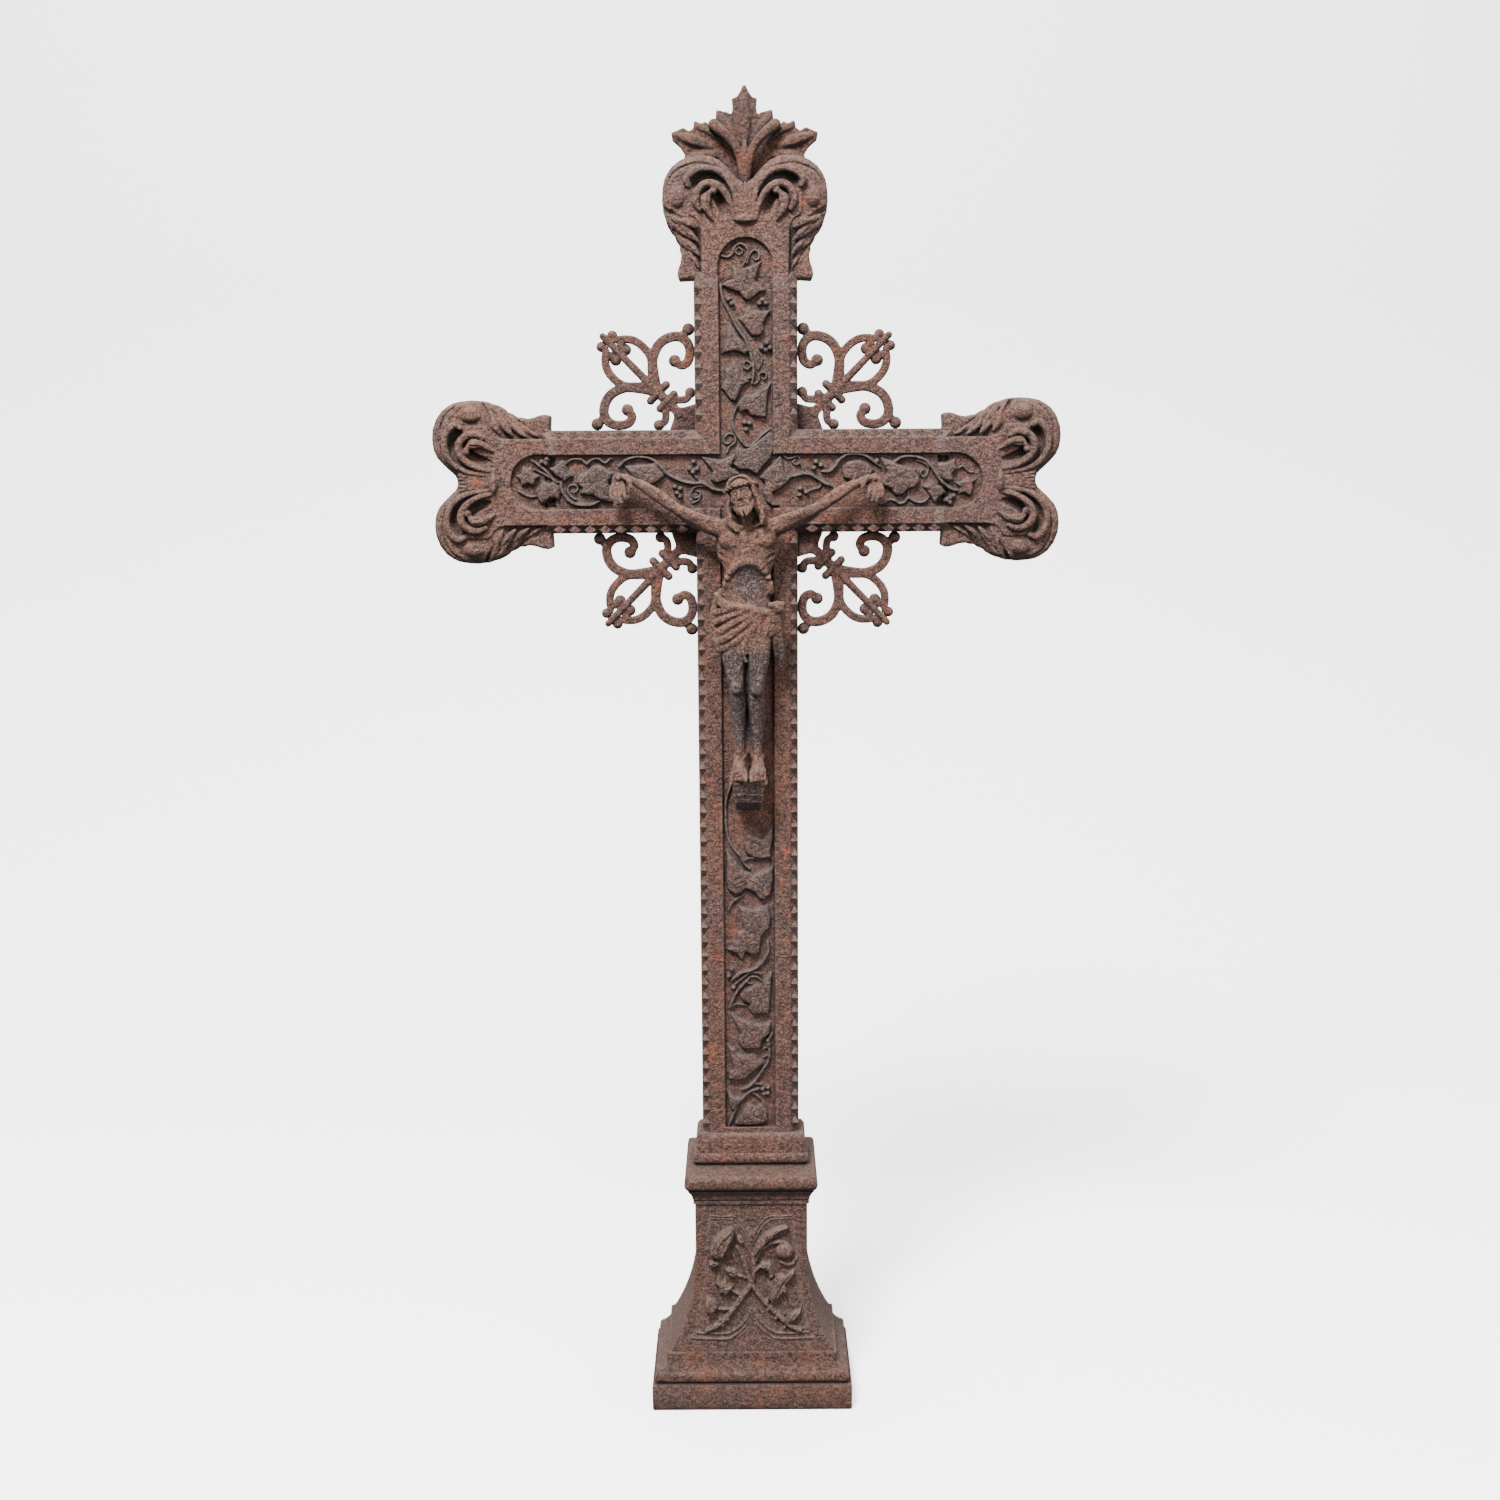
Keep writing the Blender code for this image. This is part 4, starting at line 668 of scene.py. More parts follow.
def add_stud(builder, place, along, out):
    """Worn nailhead: a low pyramid on a lozenge, its ridges softened near the tip."""
    across = along.cross(out)
    half_length = STUD_PITCH * 0.44
    half_width = FRONT_CHAMFER * math.sqrt(2) / 2 * 0.94
    loops = []
    for share, height in ((1.0, -0.4), (0.96, 0.3), (0.42, STUD_HEIGHT * 0.62), (0.13, STUD_HEIGHT * 0.93)):
        corners = []
        for corner in range(4):
            angle = math.tau * corner / 4
            flat = along * half_length * math.cos(angle) + across * half_width * math.sin(angle)
            corners.append(builder.verts.new(place + flat * share + out * height))
        loops.append(corners)
    join_loops(builder, loops)


def stud_places(start, end):
    count = int((end - start) / STUD_PITCH)
    margin = (end - start - count * STUD_PITCH) / 2
    return [start + margin + STUD_PITCH * (index + 0.5) for index in range(count)]


def mesh_from_builder(name, builder, matrix, material, replaced, smooth=False):
    bmesh.ops.recalc_face_normals(builder, faces=builder.faces)
    mesh = bpy.data.meshes.new(name)
    builder.to_mesh(mesh)
    builder.free()
    mesh.transform(matrix)
    if smooth:
        mesh.shade_smooth()
    return add_object(name, mesh, material, replaced)


def make_beams():
    """Shaft and arms with their chamfers, and the sunk panel cut into the front."""
    outline = plus_outline(SHAFT_WIDTH / 2, ARM_WIDTH / 2, BEAM_REACH, SHAFT_LENGTH + 14)
    levels = []
    edge = 0.8
    for inset, h in (
        (BACK_CHAMFER, -FRONT), (0, -FRONT + BACK_CHAMFER), (0, FRONT - FRONT_CHAMFER - edge),
        (0.5, FRONT - FRONT_CHAMFER), (FRONT_CHAMFER, FRONT - edge), (FRONT_CHAMFER + edge, FRONT),
    ):
        levels.append((offset_outline(outline, inset), h))
    builder = bmesh.new()
    stack_outlines(builder, levels)
    beams = mesh_from_builder("beams", builder, face_matrix(), cross_iron, ["cross"])

    panel = plus_outline(PANEL_WIDTH / 2, PANEL_WIDTH / 2, PANEL_REACH, PANEL_FOOT, 16)
    cutter_builder = bmesh.new()
    stack_outlines(cutter_builder, (
        (offset_outline(panel, 1.4), PANEL_FLOOR - 0.6), (offset_outline(panel, 0.6), FRONT - 0.9),
        (offset_outline(panel, -0.4), FRONT + 0.05), (offset_outline(panel, -0.4), FRONT + 2),
    ))
    bmesh.ops.recalc_face_normals(cutter_builder, faces=cutter_builder.faces)
    cutter_mesh = bpy.data.meshes.new("panel_cutter")
    cutter_builder.to_mesh(cutter_mesh)
    cutter_builder.free()
    cutter_mesh.transform(face_matrix())
    cutter = link_object("panel_cutter", cutter_mesh)
    cut = beams.modifiers.new("panel", "BOOLEAN")
    cut.operation = "DIFFERENCE"
    cut.solver = "EXACT"
    cut.object = cutter
    graph = bpy.context.evaluated_depsgraph_get()
    finished = bpy.data.meshes.new_from_object(beams.evaluated_get(graph))
    beams.modifiers.clear()
    beams.data = finished
    bpy.data.objects.remove(cutter, do_unlink=True)


def make_studs():
    builder = bmesh.new()
    half = FRONT_CHAMFER / 2
    rows = (
        (0, ARM_WIDTH / 2, SCROLL_FOOT + 6), (90, SHAFT_WIDTH / 2, SCROLL_FOOT + 6),
        (180, ARM_WIDTH / 2, SCROLL_FOOT + 6), (270, SHAFT_WIDTH / 2, SHAFT_LENGTH),
    )
    for turn, half_width, end in rows:
        spin = Matrix.Rotation(math.radians(turn), 3, "Z")
        for side in (-1, 1):
            out = (spin @ Vector((0, side, 1))).normalized()
            along = spin @ Vector((1, 0, 0))
            for reach in stud_places(ARM_WIDTH / 2, end):
                place = spin @ Vector((reach, side * (half_width - half), FRONT - half))
                add_stud(builder, place, along, out)
    mesh_from_builder("studs", builder, face_matrix(), cross_iron, ["cross"])


def rounded_ring(half_x, half_y, corner, steps=3):
    """Rectangle with rounded corners, as a closed outline."""
    points = []
    for x, y, start in ((1, -1, -90), (1, 1, 0), (-1, 1, 90), (-1, -1, 180)):
        for step in range(steps + 1):
            angle = math.radians(start + 90 * step / steps)
            points.append((x * (half_x - corner) + corner * math.cos(angle),
                           y * (half_y - corner) + corner * math.sin(angle)))
    return points


def half_round(low, high, projection, steps=10):
    """Rows of (projection, z) over a half round moulding."""
    rows = []
    for step in range(steps + 1):
        angle = math.radians(-90 + 180 * step / steps)
        rows.append((projection * math.cos(angle), (low + high) / 2 + (high - low) / 2 * math.sin(angle)))
    return rows


def make_moulded(name, rings, corner, material, replaced):
    """Body of stacked rounded rectangles, (half width, half depth, z) from the underside up."""
    builder = bmesh.new()
    stack_outlines(builder, [(rounded_ring(half_x, half_y, corner), z) for half_x, half_y, z in rings])
    made = mesh_from_builder(name, builder, Matrix.Scale(MM, 4), material, replaced, smooth=True)
    made.data.set_sharp_from_angle(angle=math.radians(32))
    return made


FOOT_BOTTOM = 305.8


def make_foot_moulding():
    rings = [(67, 25, FOOT_BOTTOM)]
    rings += [(68 + out, 26 + out, z) for out, z in half_round(FOOT_BOTTOM + 0.2, FOOT_BOTTOM + 14.5, 4.0)]
    rings += [(68, 26, 321.2), (68, 26, 340.5), (67.2, 25.4, 341.8), (64.5, 24.2, 345.6), (62, 23.4, 346.3)]
    make_moulded("foot_moulding", rings, 1.6, cross_iron, ["cross"])


# Pedestal

DIE_TOP = 272.5
BASE_TOP = 72.5
# Half width and half depth of the die, how far its foot flares out, and how high the flare reaches
DIE_HALF = (69.5, 56)
DIE_FLARE = (33.0, 4.5)
FLARE_RISE = 140.0
# Rings of the mouldings as (half width, half depth, height), each group from below
PLINTH_RINGS = ((123.5, 73.5, 0), (124.6, 74.6, 1.0), (125, 75, 2.4), (125, 75, 31.8), (124.2, 74.2, 33.3),
                (119.5, 69.5, 33.5))
BASE_RINGS = ((106.2, 63.8, 64.2), (106.2, 63.8, 71.6), (105.4, 63.0, 72.5), (103.0, 60.7, 72.6))
NECK_RINGS = (
    (69.5, 56, DIE_TOP - 5.6), (71.8, 58.3, DIE_TOP - 5.2), (71.8, 58.3, DIE_TOP - 1.2),
    (70, 56.5, DIE_TOP - 0.8), (70, 56.5, DIE_TOP + 0.4), (72.4, 58.9, DIE_TOP + 0.8),
)


def flare(z):
    """How far the foot of the die has flared at a height, from 1 at its foot to 0."""
    share = np.clip((z - BASE_TOP) / FLARE_RISE, 0, 1)
    return (1 - share) ** 2.6


def make_pedestal():
    rings = list(PLINTH_RINGS)
    rings += [(118.2 + out, 68.2 + out, z) for out, z in half_round(34.0, 49.0, 3.8)]
    rings.append((117.6, 67.6, 49.3))
    for step in range(1, 9):
        drawn = math.sin(math.radians(90 * step / 8))
        rings.append((117.6 - 11.4 * drawn, 67.6 - 3.8 * drawn, 49.5 + 14.0 * step / 8))
    rings += BASE_RINGS
    for step in range(1, 25):
        z = BASE_TOP + FLARE_RISE * step / 24
        flared = float(flare(z))
        rings.append((DIE_HALF[0] + DIE_FLARE[0] * flared, DIE_HALF[1] + DIE_FLARE[1] * flared, z))
    rings += NECK_RINGS
    for step in range(1, 7):
        drawn = 1 - math.cos(math.radians(90 * step / 6))
        rings.append((72.4 + 5.6 * drawn, 58.9 + 5.6 * drawn, DIE_TOP + 13.0 * step / 6))
    rings.append((75, 61.5, DIE_TOP + 13.4))
    rings += [(77 + out, 63.5 + out, z) for out, z in half_round(287.0, 305.0, 5.2)]
    rings.append((74, 61, 305.5))
    make_moulded("pedestal_body", rings, 1.8, pedestal_iron, ["pedestal"])


# Low relief: heights on a flat grid


class Relief:
    """Heights of ornament over a flat ground. Where nothing stands, the sheet lies sunk below it."""

    def __init__(self, low, high, step, sunk=1.0):
        self.step = step
        self.x = np.arange(low[0], high[0] + step, step, dtype=np.float32)
        self.y = np.arange(low[1], high[1] + step, step, dtype=np.float32)
        self.sunk = sunk
        self.height = np.full((len(self.x), len(self.y)), -sunk, np.float32)

    def window(self, low, high, margin):
        x0, x1 = np.searchsorted(self.x, (low[0] - margin, high[0] + margin))
        y0, y1 = np.searchsorted(self.y, (low[1] - margin, high[1] + margin))
        return (slice(x0, x1), slice(y0, y1)), self.x[x0:x1][:, None], self.y[y0:y1][None, :]

    def raise_to(self, slices, heights, soft=0.4):
        old = self.height[slices]
        joined = -soft_min(-old, -heights, soft)
        both = (old > -self.sunk) & (heights > -self.sunk)
        self.height[slices] = np.where(both, joined, np.maximum(old, heights))

    def strip(self, points, lift, steps=6, soft=0.4):
        """Rounded strip through points of (x, y, radius), as high as lift times its radius."""
        path = catmull(points, steps)
        slices, x, y = self.window(path[:, :2].min(0), path[:, :2].max(0), float(path[:, 2].max()) + 2)
        best = np.full(self.height[slices].shape, -self.sunk, np.float32)
        for start, end in zip(path, path[1:]):
            apart, share = to_segment((x, y), start[:2], end[:2])
            radius = start[2] + (end[2] - start[2]) * share
            within = np.sqrt(np.maximum(radius ** 2 - apart ** 2, 0)) * lift
            heights = np.where(apart < radius, within, np.maximum((radius - apart) * 2, -self.sunk))
            best = np.maximum(best, heights)
        self.raise_to(slices, best, soft)

    def ball(self, x0, y0, radius, height):
        slices, x, y = self.window((x0, y0), (x0, y0), radius + 2)
        apart = np.sqrt((x - x0) ** 2 + (y - y0) ** 2)
        dome = np.sqrt(np.maximum(1 - (apart / radius) ** 2, 0)) * height
        around = np.maximum((radius - apart) * 2, -self.sunk)
        self.raise_to(slices, np.where(apart < radius, dome, around), 0.2)

    def leaf(self, outline, base, tips, edge, dome, vein=0.7, soft=0.2):
        """Leaf blade: a steep edge, a crowned middle, and a vein from its base to each tip."""
        corners = np.array(outline)
        slices, x, y = self.window(corners.min(0), corners.max(0), 2)
        inside = -polygon_distance(x, y, outline)
        blade = np.minimum(inside * 2.4, edge) + dome * (1 - np.exp(-np.maximum(inside, 0) / 3.5))
        deepest = np.zeros_like(blade)
        for tip in tips:
            apart, share = to_segment((x, y), base, tip)
            deepest = np.maximum(deepest, np.exp(-(apart / 0.9) ** 2) * (1 - 0.5 * share))
        blade -= vein * deepest * (inside > 0.6)
        self.raise_to(slices, np.maximum(blade, -self.sunk), soft)

    def soften(self, passes):
        """Round the ornament's edges, as on a casting."""
        for _ in range(passes):
            padded = np.pad(self.height, 1, mode="edge")
            sides = padded[:-2, 1:-1] + padded[2:, 1:-1] + padded[1:-1, :-2] + padded[1:-1, 2:]
            self.height = (sides + 4 * self.height) / 8

    def make(self, name, matrix, material, slot, replaced, ground=None, keep=None):
        """Mesh of the sheet, without the cells that lie sunk or outside."""
        x, y = np.meshgrid(self.x, self.y, indexing="ij")
        z = self.height + (ground(x, y) if ground else 0)
        number = np.arange(x.size).reshape(x.shape)
        quads = np.stack([number[:-1, :-1], number[1:, :-1], number[1:, 1:], number[:-1, 1:]], -1)
        shown = self.height > -self.sunk + 0.01
        shown = shown[:-1, :-1] | shown[1:, :-1] | shown[1:, 1:] | shown[:-1, 1:]
        if keep is not None:
            shown &= keep(x[:-1, :-1], y[:-1, :-1])
        quads = quads[shown]
        used, quads = np.unique(quads, return_inverse=True)
        vertices = np.stack([x.ravel(), y.ravel(), z.ravel()], -1)[used]
        return make_mesh(name, vertices, quads.reshape(-1, 4), matrix, material, replaced)


# Ivy in the sunk panel. Places are (right, up) from the crossing, in mm.

ARM_LEAVES = (
    ((-216, 27), (-212, 24), (-210, 18), (-207, 13), (-202, 7), (-208, 4), (-214, -1), (-219, 4), (-225, 7),
     (-229, 12), (-232, 17), (-226, 18), (-222, 21), (-219, 25)),
    ((-227, 2), (-219, -4), (-218, -12), (-220, -22), (-227, -19), (-233, -20), (-240, -27), (-246, -20),
     (-249, -9), (-244, -3), (-238, 2), (-232, -1)),
    ((-186, 15), (-180, 20), (-172, 21), (-166, 18), (-161, 13), (-156, 10), (-158, 4), (-161, -1),
     (-158, -7), (-157, -25), (-163, -24), (-170, -22), (-176, -20), (-181, -16), (-187, -16), (-197, -14),
     (-194, -7), (-201, -1), (-200, 4), (-197, 9), (-190, 12)),
    ((-263, 20), (-258, 17), (-252, 20), (-249, 12), (-241, 8), (-247, 2), (-249, -5), (-257, -2),
     (-265, -6), (-266, 1), (-272, 8), (-265, 11)),
    ((156, 29), (163, 26), (169, 24), (176, 21), (183, 18), (191, 15), (200, 14), (199, 10), (203, 5),
     (205, -1), (201, -6), (196, -10), (190, -11), (187, -14), (184, -17), (178, -19), (173, -17),
     (169, -11), (163, -8), (157, -6), (158, -1), (161, 3), (164, 9), (161, 15), (158, 22)),
    ((246, 28), (245, 20), (248, 13), (242, 7), (244, 0), (237, -3), (232, -1), (227, 2), (223, 7),
     (221, 13), (224, 21), (233, 21), (240, 23)),
    ((218, 0), (223, -5), (229, -6), (235, -15), (231, -17), (227, -20), (223, -27), (220, -27), (217, -22),
     (214, -18), (211, -12), (205, -7), (211, -5), (215, -3)),
    ((273, 3), (266, -4), (267, -11), (263, -20), (256, -16), (247, -17), (250, -9), (243, -2), (252, -1),
     (260, 5), (266, 1)),
    ((-55, 31), (-42, 28), (-28, 26), (-14, 32), (-12, 26), (-17, 17), (-6, 9), (-24, 0), (-37, -4),
     (-43, 2), (-41, 11), (-48, 20)),
    ((40, 32), (43, 24), (45, 11), (52, 1), (41, -9), (32, -14), (34, -22), (40, -29), (30, -31), (23, -25),
     (18, -13), (21, -2), (14, 4), (21, 13), (30, 21)),
    ((-145, 20), (-127, 20), (-106, 23), (-102, 16), (-95, 7), (-102, 0), (-116, -6), (-127, -1),
     (-138, 9)),
    ((111, 17), (119, 23), (133, 25), (142, 21), (151, 12), (142, 1), (126, -3), (113, 3)),
    ((-12, 41), (-1, 38), (7, 43), (27, 58), (33, 55), (33, 37), (29, 26), (19, 15), (12, 6), (2, 12),
     (-10, 13), (-17, 20), (-13, 26), (-15, 35)),
)
UPPER_LEAVES = (
    ((-17, 248), (-6, 241), (6, 246), (20, 252), (16, 242), (12, 229), (18, 223), (25, 218), (16, 214),
     (9, 208), (3, 205), (-3, 208), (-8, 215), (-15, 217), (-22, 220), (-29, 224), (-22, 229), (-15, 231),
     (-15, 239)),
    ((5, 202), (11, 197), (19, 195), (30, 196), (25, 187), (21, 180), (22, 173), (18, 166), (7, 165),
     (2, 171), (-2, 177), (-9, 186), (-3, 190), (0, 197)),
    ((-18, 182), (-13, 176), (-7, 166), (-1, 159), (5, 150), (-1, 144), (-9, 148), (-19, 148), (-30, 145),
     (-27, 153), (-24, 163), (-22, 173)),
    ((-13, 139), (-7, 129), (-3, 120), (7, 115), (-3, 110), (-7, 102), (-12, 91), (-19, 93), (-24, 100),
     (-30, 107), (-29, 112), (-24, 119), (-26, 129), (-19, 132)),
    ((30, 115), (26, 100), (25, 88), (24, 73), (13, 73), (5, 75), (0, 81), (-7, 78), (-12, 88), (-7, 96),
     (-2, 100), (7, 100), (19, 107)),
)
LOWER_LEAVES = (
    ((-5, -447), (-7, -435), (-5, -427), (0, -423), (7, -427), (16, -430), (23, -419), (30, -413),
     (30, -430), (27, -444), (28, -454), (16, -456), (5, -454), (-1, -450)),
    ((-28, -442), (-22, -448), (-14, -458), (-6, -468), (5, -474), (16, -470), (30, -463), (30, -482),
     (27, -499), (19, -507), (12, -506), (6, -497), (-4, -493), (-9, -499), (-18, -500), (-27, -493),
     (-29, -478), (-28, -458)),
    ((-13, -513), (-6, -515), (5, -517), (16, -515), (23, -512), (27, -528), (26, -541), (17, -552),
     (12, -557), (5, -552), (-5, -549), (-9, -536)),
    ((-31, -568), (-22, -564), (-18, -556), (-15, -546), (-4, -541), (8, -546), (16, -549), (15, -559),
     (12, -575), (2, -577), (-4, -573), (-9, -585), (-16, -575)),
    ((28, -596), (27, -621), (26, -637), (24, -652), (14, -652), (2, -652), (-3, -644), (-1, -639),
     (-10, -634), (-14, -627), (-7, -618), (3, -615), (14, -612), (22, -603)),
    ((-25, -648), (-17, -653), (-4, -660), (8, -663), (27, -662), (25, -677), (16, -685), (14, -696),
     (1, -698), (-11, -696), (-16, -686), (-14, -676), (-20, -663)),
    ((-28, -693), (-19, -694), (-14, -701), (-5, -704), (3, -701), (11, -711), (17, -715), (14, -719),
     (3, -728), (-5, -736), (-18, -738), (-29, -736), (-27, -726), (-21, -721), (-24, -713)),
    ((-21, -796), (-20, -789), (-11, -778), (-3, -768), (7, -771), (15, -764), (21, -778), (22, -791),
     (13, -795), (1, -797)),
    ((-29, -752), (-18, -759), (-8, -759), (-13, -769), (-19, -776), (-24, -778), (-28, -767)),
)
# Stems as their radius and the places they pass through.
ARM_STEMS = (
    (1.9, ((-211, 22), (-206, 26), (-199, 27), (-193, 26), (-187, 21), (-184, 24), (-179, 27), (-173, 27),
           (-168, 23), (-164, 23), (-160, 27), (-156, 27))),
    (2.4, ((-218, 0), (-217, -9), (-213, -17), (-207, -23), (-199, -26), (-190, -27), (-182, -26),
           (-173, -22))),
    (1.5, ((-201, -20), (-206, -17), (-210, -12), (-210, -7), (-208, -4), (-203, -3), (-199, -5),
           (-199, -9), (-203, -12), (-206, -11))),
    (1.9, ((-252, 26), (-241, 18), (-235, 13), (-230, 7), (-224, 1), (-218, 0))),
    (1.5, ((-249, 15), (-242, 12), (-235, 8), (-227, 1))),
    (1.7, ((-268, -10), (-256, -16), (-247, -16))),
    (2.4, ((174, 22), (182, 27), (191, 28), (200, 27), (210, 23), (216, 17), (221, 10), (227, 1), (233, -5),
           (242, -11), (249, -12))),
    (1.5, ((200, 23), (208, 20), (213, 15), (212, 8), (208, 4), (204, 7), (205, 11), (208, 12))),
    (1.8, ((157, -27), (163, -26), (168, -22), (175, -24), (180, -27), (186, -25), (190, -20), (196, -24),
           (204, -26), (210, -24), (214, -20))),
    (1.6, ((190, -11), (190, -20))),
    (1.5, ((247, 13), (254, 16), (260, 10), (267, 9))),
    (2.4, ((-149, 18), (-142, 25), (-129, 29), (-113, 27), (-102, 19), (-93, 9), (-77, 1), (-62, -2),
           (-51, -2), (-39, -9), (-28, -11))),
    (1.6, ((-62, 15), (-62, 9), (-57, 3), (-46, -4), (-37, -10))),
    (1.5, ((-37, -11), (-48, -6), (-60, -6), (-65, -12), (-62, -19), (-55, -17), (-55, -12), (-60, -11))),
    (1.4, ((-64, -25), (-56, -21), (-53, -15))),
    (2.4, ((43, 1), (50, 4), (61, 7), (72, 8), (83, 3), (92, -3), (100, -6))),
    (1.6, ((86, 1), (86, -7), (77, -10), (68, -14))),
    (2.4, ((89, 11), (97, 11), (104, 17), (108, 23), (117, 30), (128, 31), (139, 29), (148, 23),
           (157, 16))),
    (1.5, ((43, 30), (48, 26), (54, 27), (60, 29), (63, 23), (59, 19), (54, 22), (58, 25))),
    (1.6, ((64, 21), (66, 12), (59, 7), (52, 4))),
    (1.5, ((-23, 33), (-20, 40), (-13, 45), (-14, 53), (-21, 55), (-26, 50), (-25, 44), (-19, 45),
           (-20, 49))),
)
UPPER_STEMS = (
    (2.2, ((-29, 224), (-28, 217), (-25, 205), (-18, 192), (-10, 176), (-1, 163), (5, 149), (8, 137),
           (9, 125), (7, 112))),
    (1.7, ((-28, 257), (-21, 255), (-15, 259), (-13, 265), (-7, 270), (-1, 268), (3, 262), (1, 253),
           (-2, 246))),
    (1.4, ((-7, 266), (-3, 262), (-6, 258), (-10, 259), (-11, 263), (-7, 266))),
    (1.5, ((2, 248), (5, 258), (11, 263), (16, 258), (15, 253), (11, 252), (9, 256))),
    (1.5, ((2, 138), (6, 134), (2, 129), (-2, 131), (-2, 137), (2, 138))),
    (1.6, ((-5, 129), (-2, 119), (7, 120), (10, 129))),
    (1.5, ((10, 112), (15, 116), (15, 123), (21, 125), (24, 121), (21, 117), (18, 119))),
    (1.8, ((-10, 88), (-15, 76), (-16, 66), (-11, 54), (-2, 42), (6, 41), (17, 52), (27, 60))),
    (1.5, ((14, 129), (18, 136), (18, 144), (14, 149))),
)
LOWER_STEMS = (
    (2.2, ((-22, -364), (-27, -381), (-28, -398), (-27, -420), (-21, -438), (-11, -451), (-6, -461),
           (1, -468))),
    (1.8, ((-8, -458), (0, -454), (11, -455), (18, -458))),
    (1.8, ((-26, -519), (-21, -510), (-14, -504), (-6, -499))),
    (1.6, ((-14, -513), (-10, -525), (-8, -536))),
    (2.3, ((22, -559), (23, -572), (14, -587), (3, -595), (-9, -598), (-17, -603), (-23, -609))),
    (1.7, ((14, -600), (2, -598), (-7, -604), (-17, -612), (-23, -620))),
    (1.5, ((14, -609), (8, -604), (-1, -605), (-2, -612), (3, -613))),
    (2.2, ((-4, -609), (-15, -621), (-22, -635), (-26, -644))),
    (1.7, ((-25, -643), (-18, -639), (-11, -639), (-3, -641))),
    (2.2, ((27, -677), (23, -686), (24, -700), (22, -713), (14, -726), (6, -738), (-3, -746), (-11, -750))),
    (1.5, ((15, -698), (20, -695), (23, -700), (20, -706), (16, -708))),
    (1.8, ((14, -743), (4, -742), (-3, -746))),
    (2.2, ((10, -748), (0, -752), (-10, -761), (-19, -776), (-26, -793), (-28, -798))),
    (1.8, ((1, -753), (10, -759), (18, -769), (21, -783))),
)
ARM_BERRIES = (
    (-234, 27), (-235, 22), (-240, 24), (240, -20), (235, -23), (243, -18), (239, -26), (-62, 23),
    (-67, 15), (-58, 15), (-63, 11), (-84, -6), (-78, -8), (-82, -13), (-78, -17), (63, -9), (70, -13),
    (62, -16), (81, 22), (87, 18), (79, 15), (153, 23),
)
UPPER_BERRIES = (
    (24, 158), (18, 153), (23, 150), (28, 153), (-19, 208), (-16, 203), (19, 207), (16, 203), (23, 203),
    (-2, 68), (4, 67), (0, 60),
)
LOWER_BERRIES = (
    (-22, -594), (-26, -603), (-15, -602), (-20, -617), (15, -749), (22, -747), (17, -755), (22, -754),
    (22, -686), (23, -691),
)
BERRY_RADIUS = 3.4


def tips_of(outline):
    """Corners that point outwards, which are the leaf's tips, and the leaf's middle."""
    middle = np.mean(outline, axis=0)
    reach = [float(np.hypot(*(np.array(point) - middle))) for point in outline]
    tips = []
    for index, point in enumerate(outline):
        if reach[index] >= max(reach[index - 1], reach[(index + 1) % len(outline)]):
            tips.append(point)
    return tips, middle


def add_ivy(relief, leaves, stems, berries):
    for radius, places in stems:
        path = [(x, y, radius) for x, y in places]
        path[-1] = (*places[-1], radius * 0.7)
        relief.strip(path, 2.3)
    for outline in leaves:
        tips, middle = tips_of(outline)
        relief.leaf(outline, tuple(middle), tips, 4.8, 2.6, 1.1)
    for x, y in berries:
        relief.ball(x, y, BERRY_RADIUS, 6.2)


def within_panel(x, y, margin=1.0):
    """Whether a place lies in the arms of the sunk panel."""
    half = PANEL_WIDTH / 2 - margin
    reach = PANEL_REACH - margin - PANEL_WIDTH / 2
    on_arm = (np.abs(y) < half) & (np.abs(x) < reach)
    on_shaft = (np.abs(x) < half) & (y < reach) & (y > -PANEL_FOOT + margin)
    ends = [np.hypot(x - end_x, y - end_y) < half for end_x, end_y in ((reach, 0), (-reach, 0), (0, reach))]
    return on_arm | on_shaft | ends[0] | ends[1] | ends[2]


def make_ivy():
    def floor(x, y):
        return PANEL_FLOOR - 0.6

    arms = Relief((-275, -32), (275, 62), IVY_STEPS[0])
    add_ivy(arms, ARM_LEAVES, ARM_STEMS, ARM_BERRIES)
    upper = Relief((-32, 28), (32, 276), IVY_STEPS[1])
    add_ivy(upper, UPPER_LEAVES, UPPER_STEMS, UPPER_BERRIES)
    lower = Relief((-32, -800), (32, -355), IVY_STEPS[2])
    add_ivy(lower, LOWER_LEAVES, LOWER_STEMS, LOWER_BERRIES)
    for name, relief in (("ivy_arms", arms), ("ivy_upper", upper), ("ivy_lower", lower)):
        relief.soften(2)
        relief.make(name, face_matrix(), leaf_iron, "cross_iron", ["cross"], floor, within_panel)


# Flowers on the front of the pedestal. Places are (right, height above the ground), in mm.

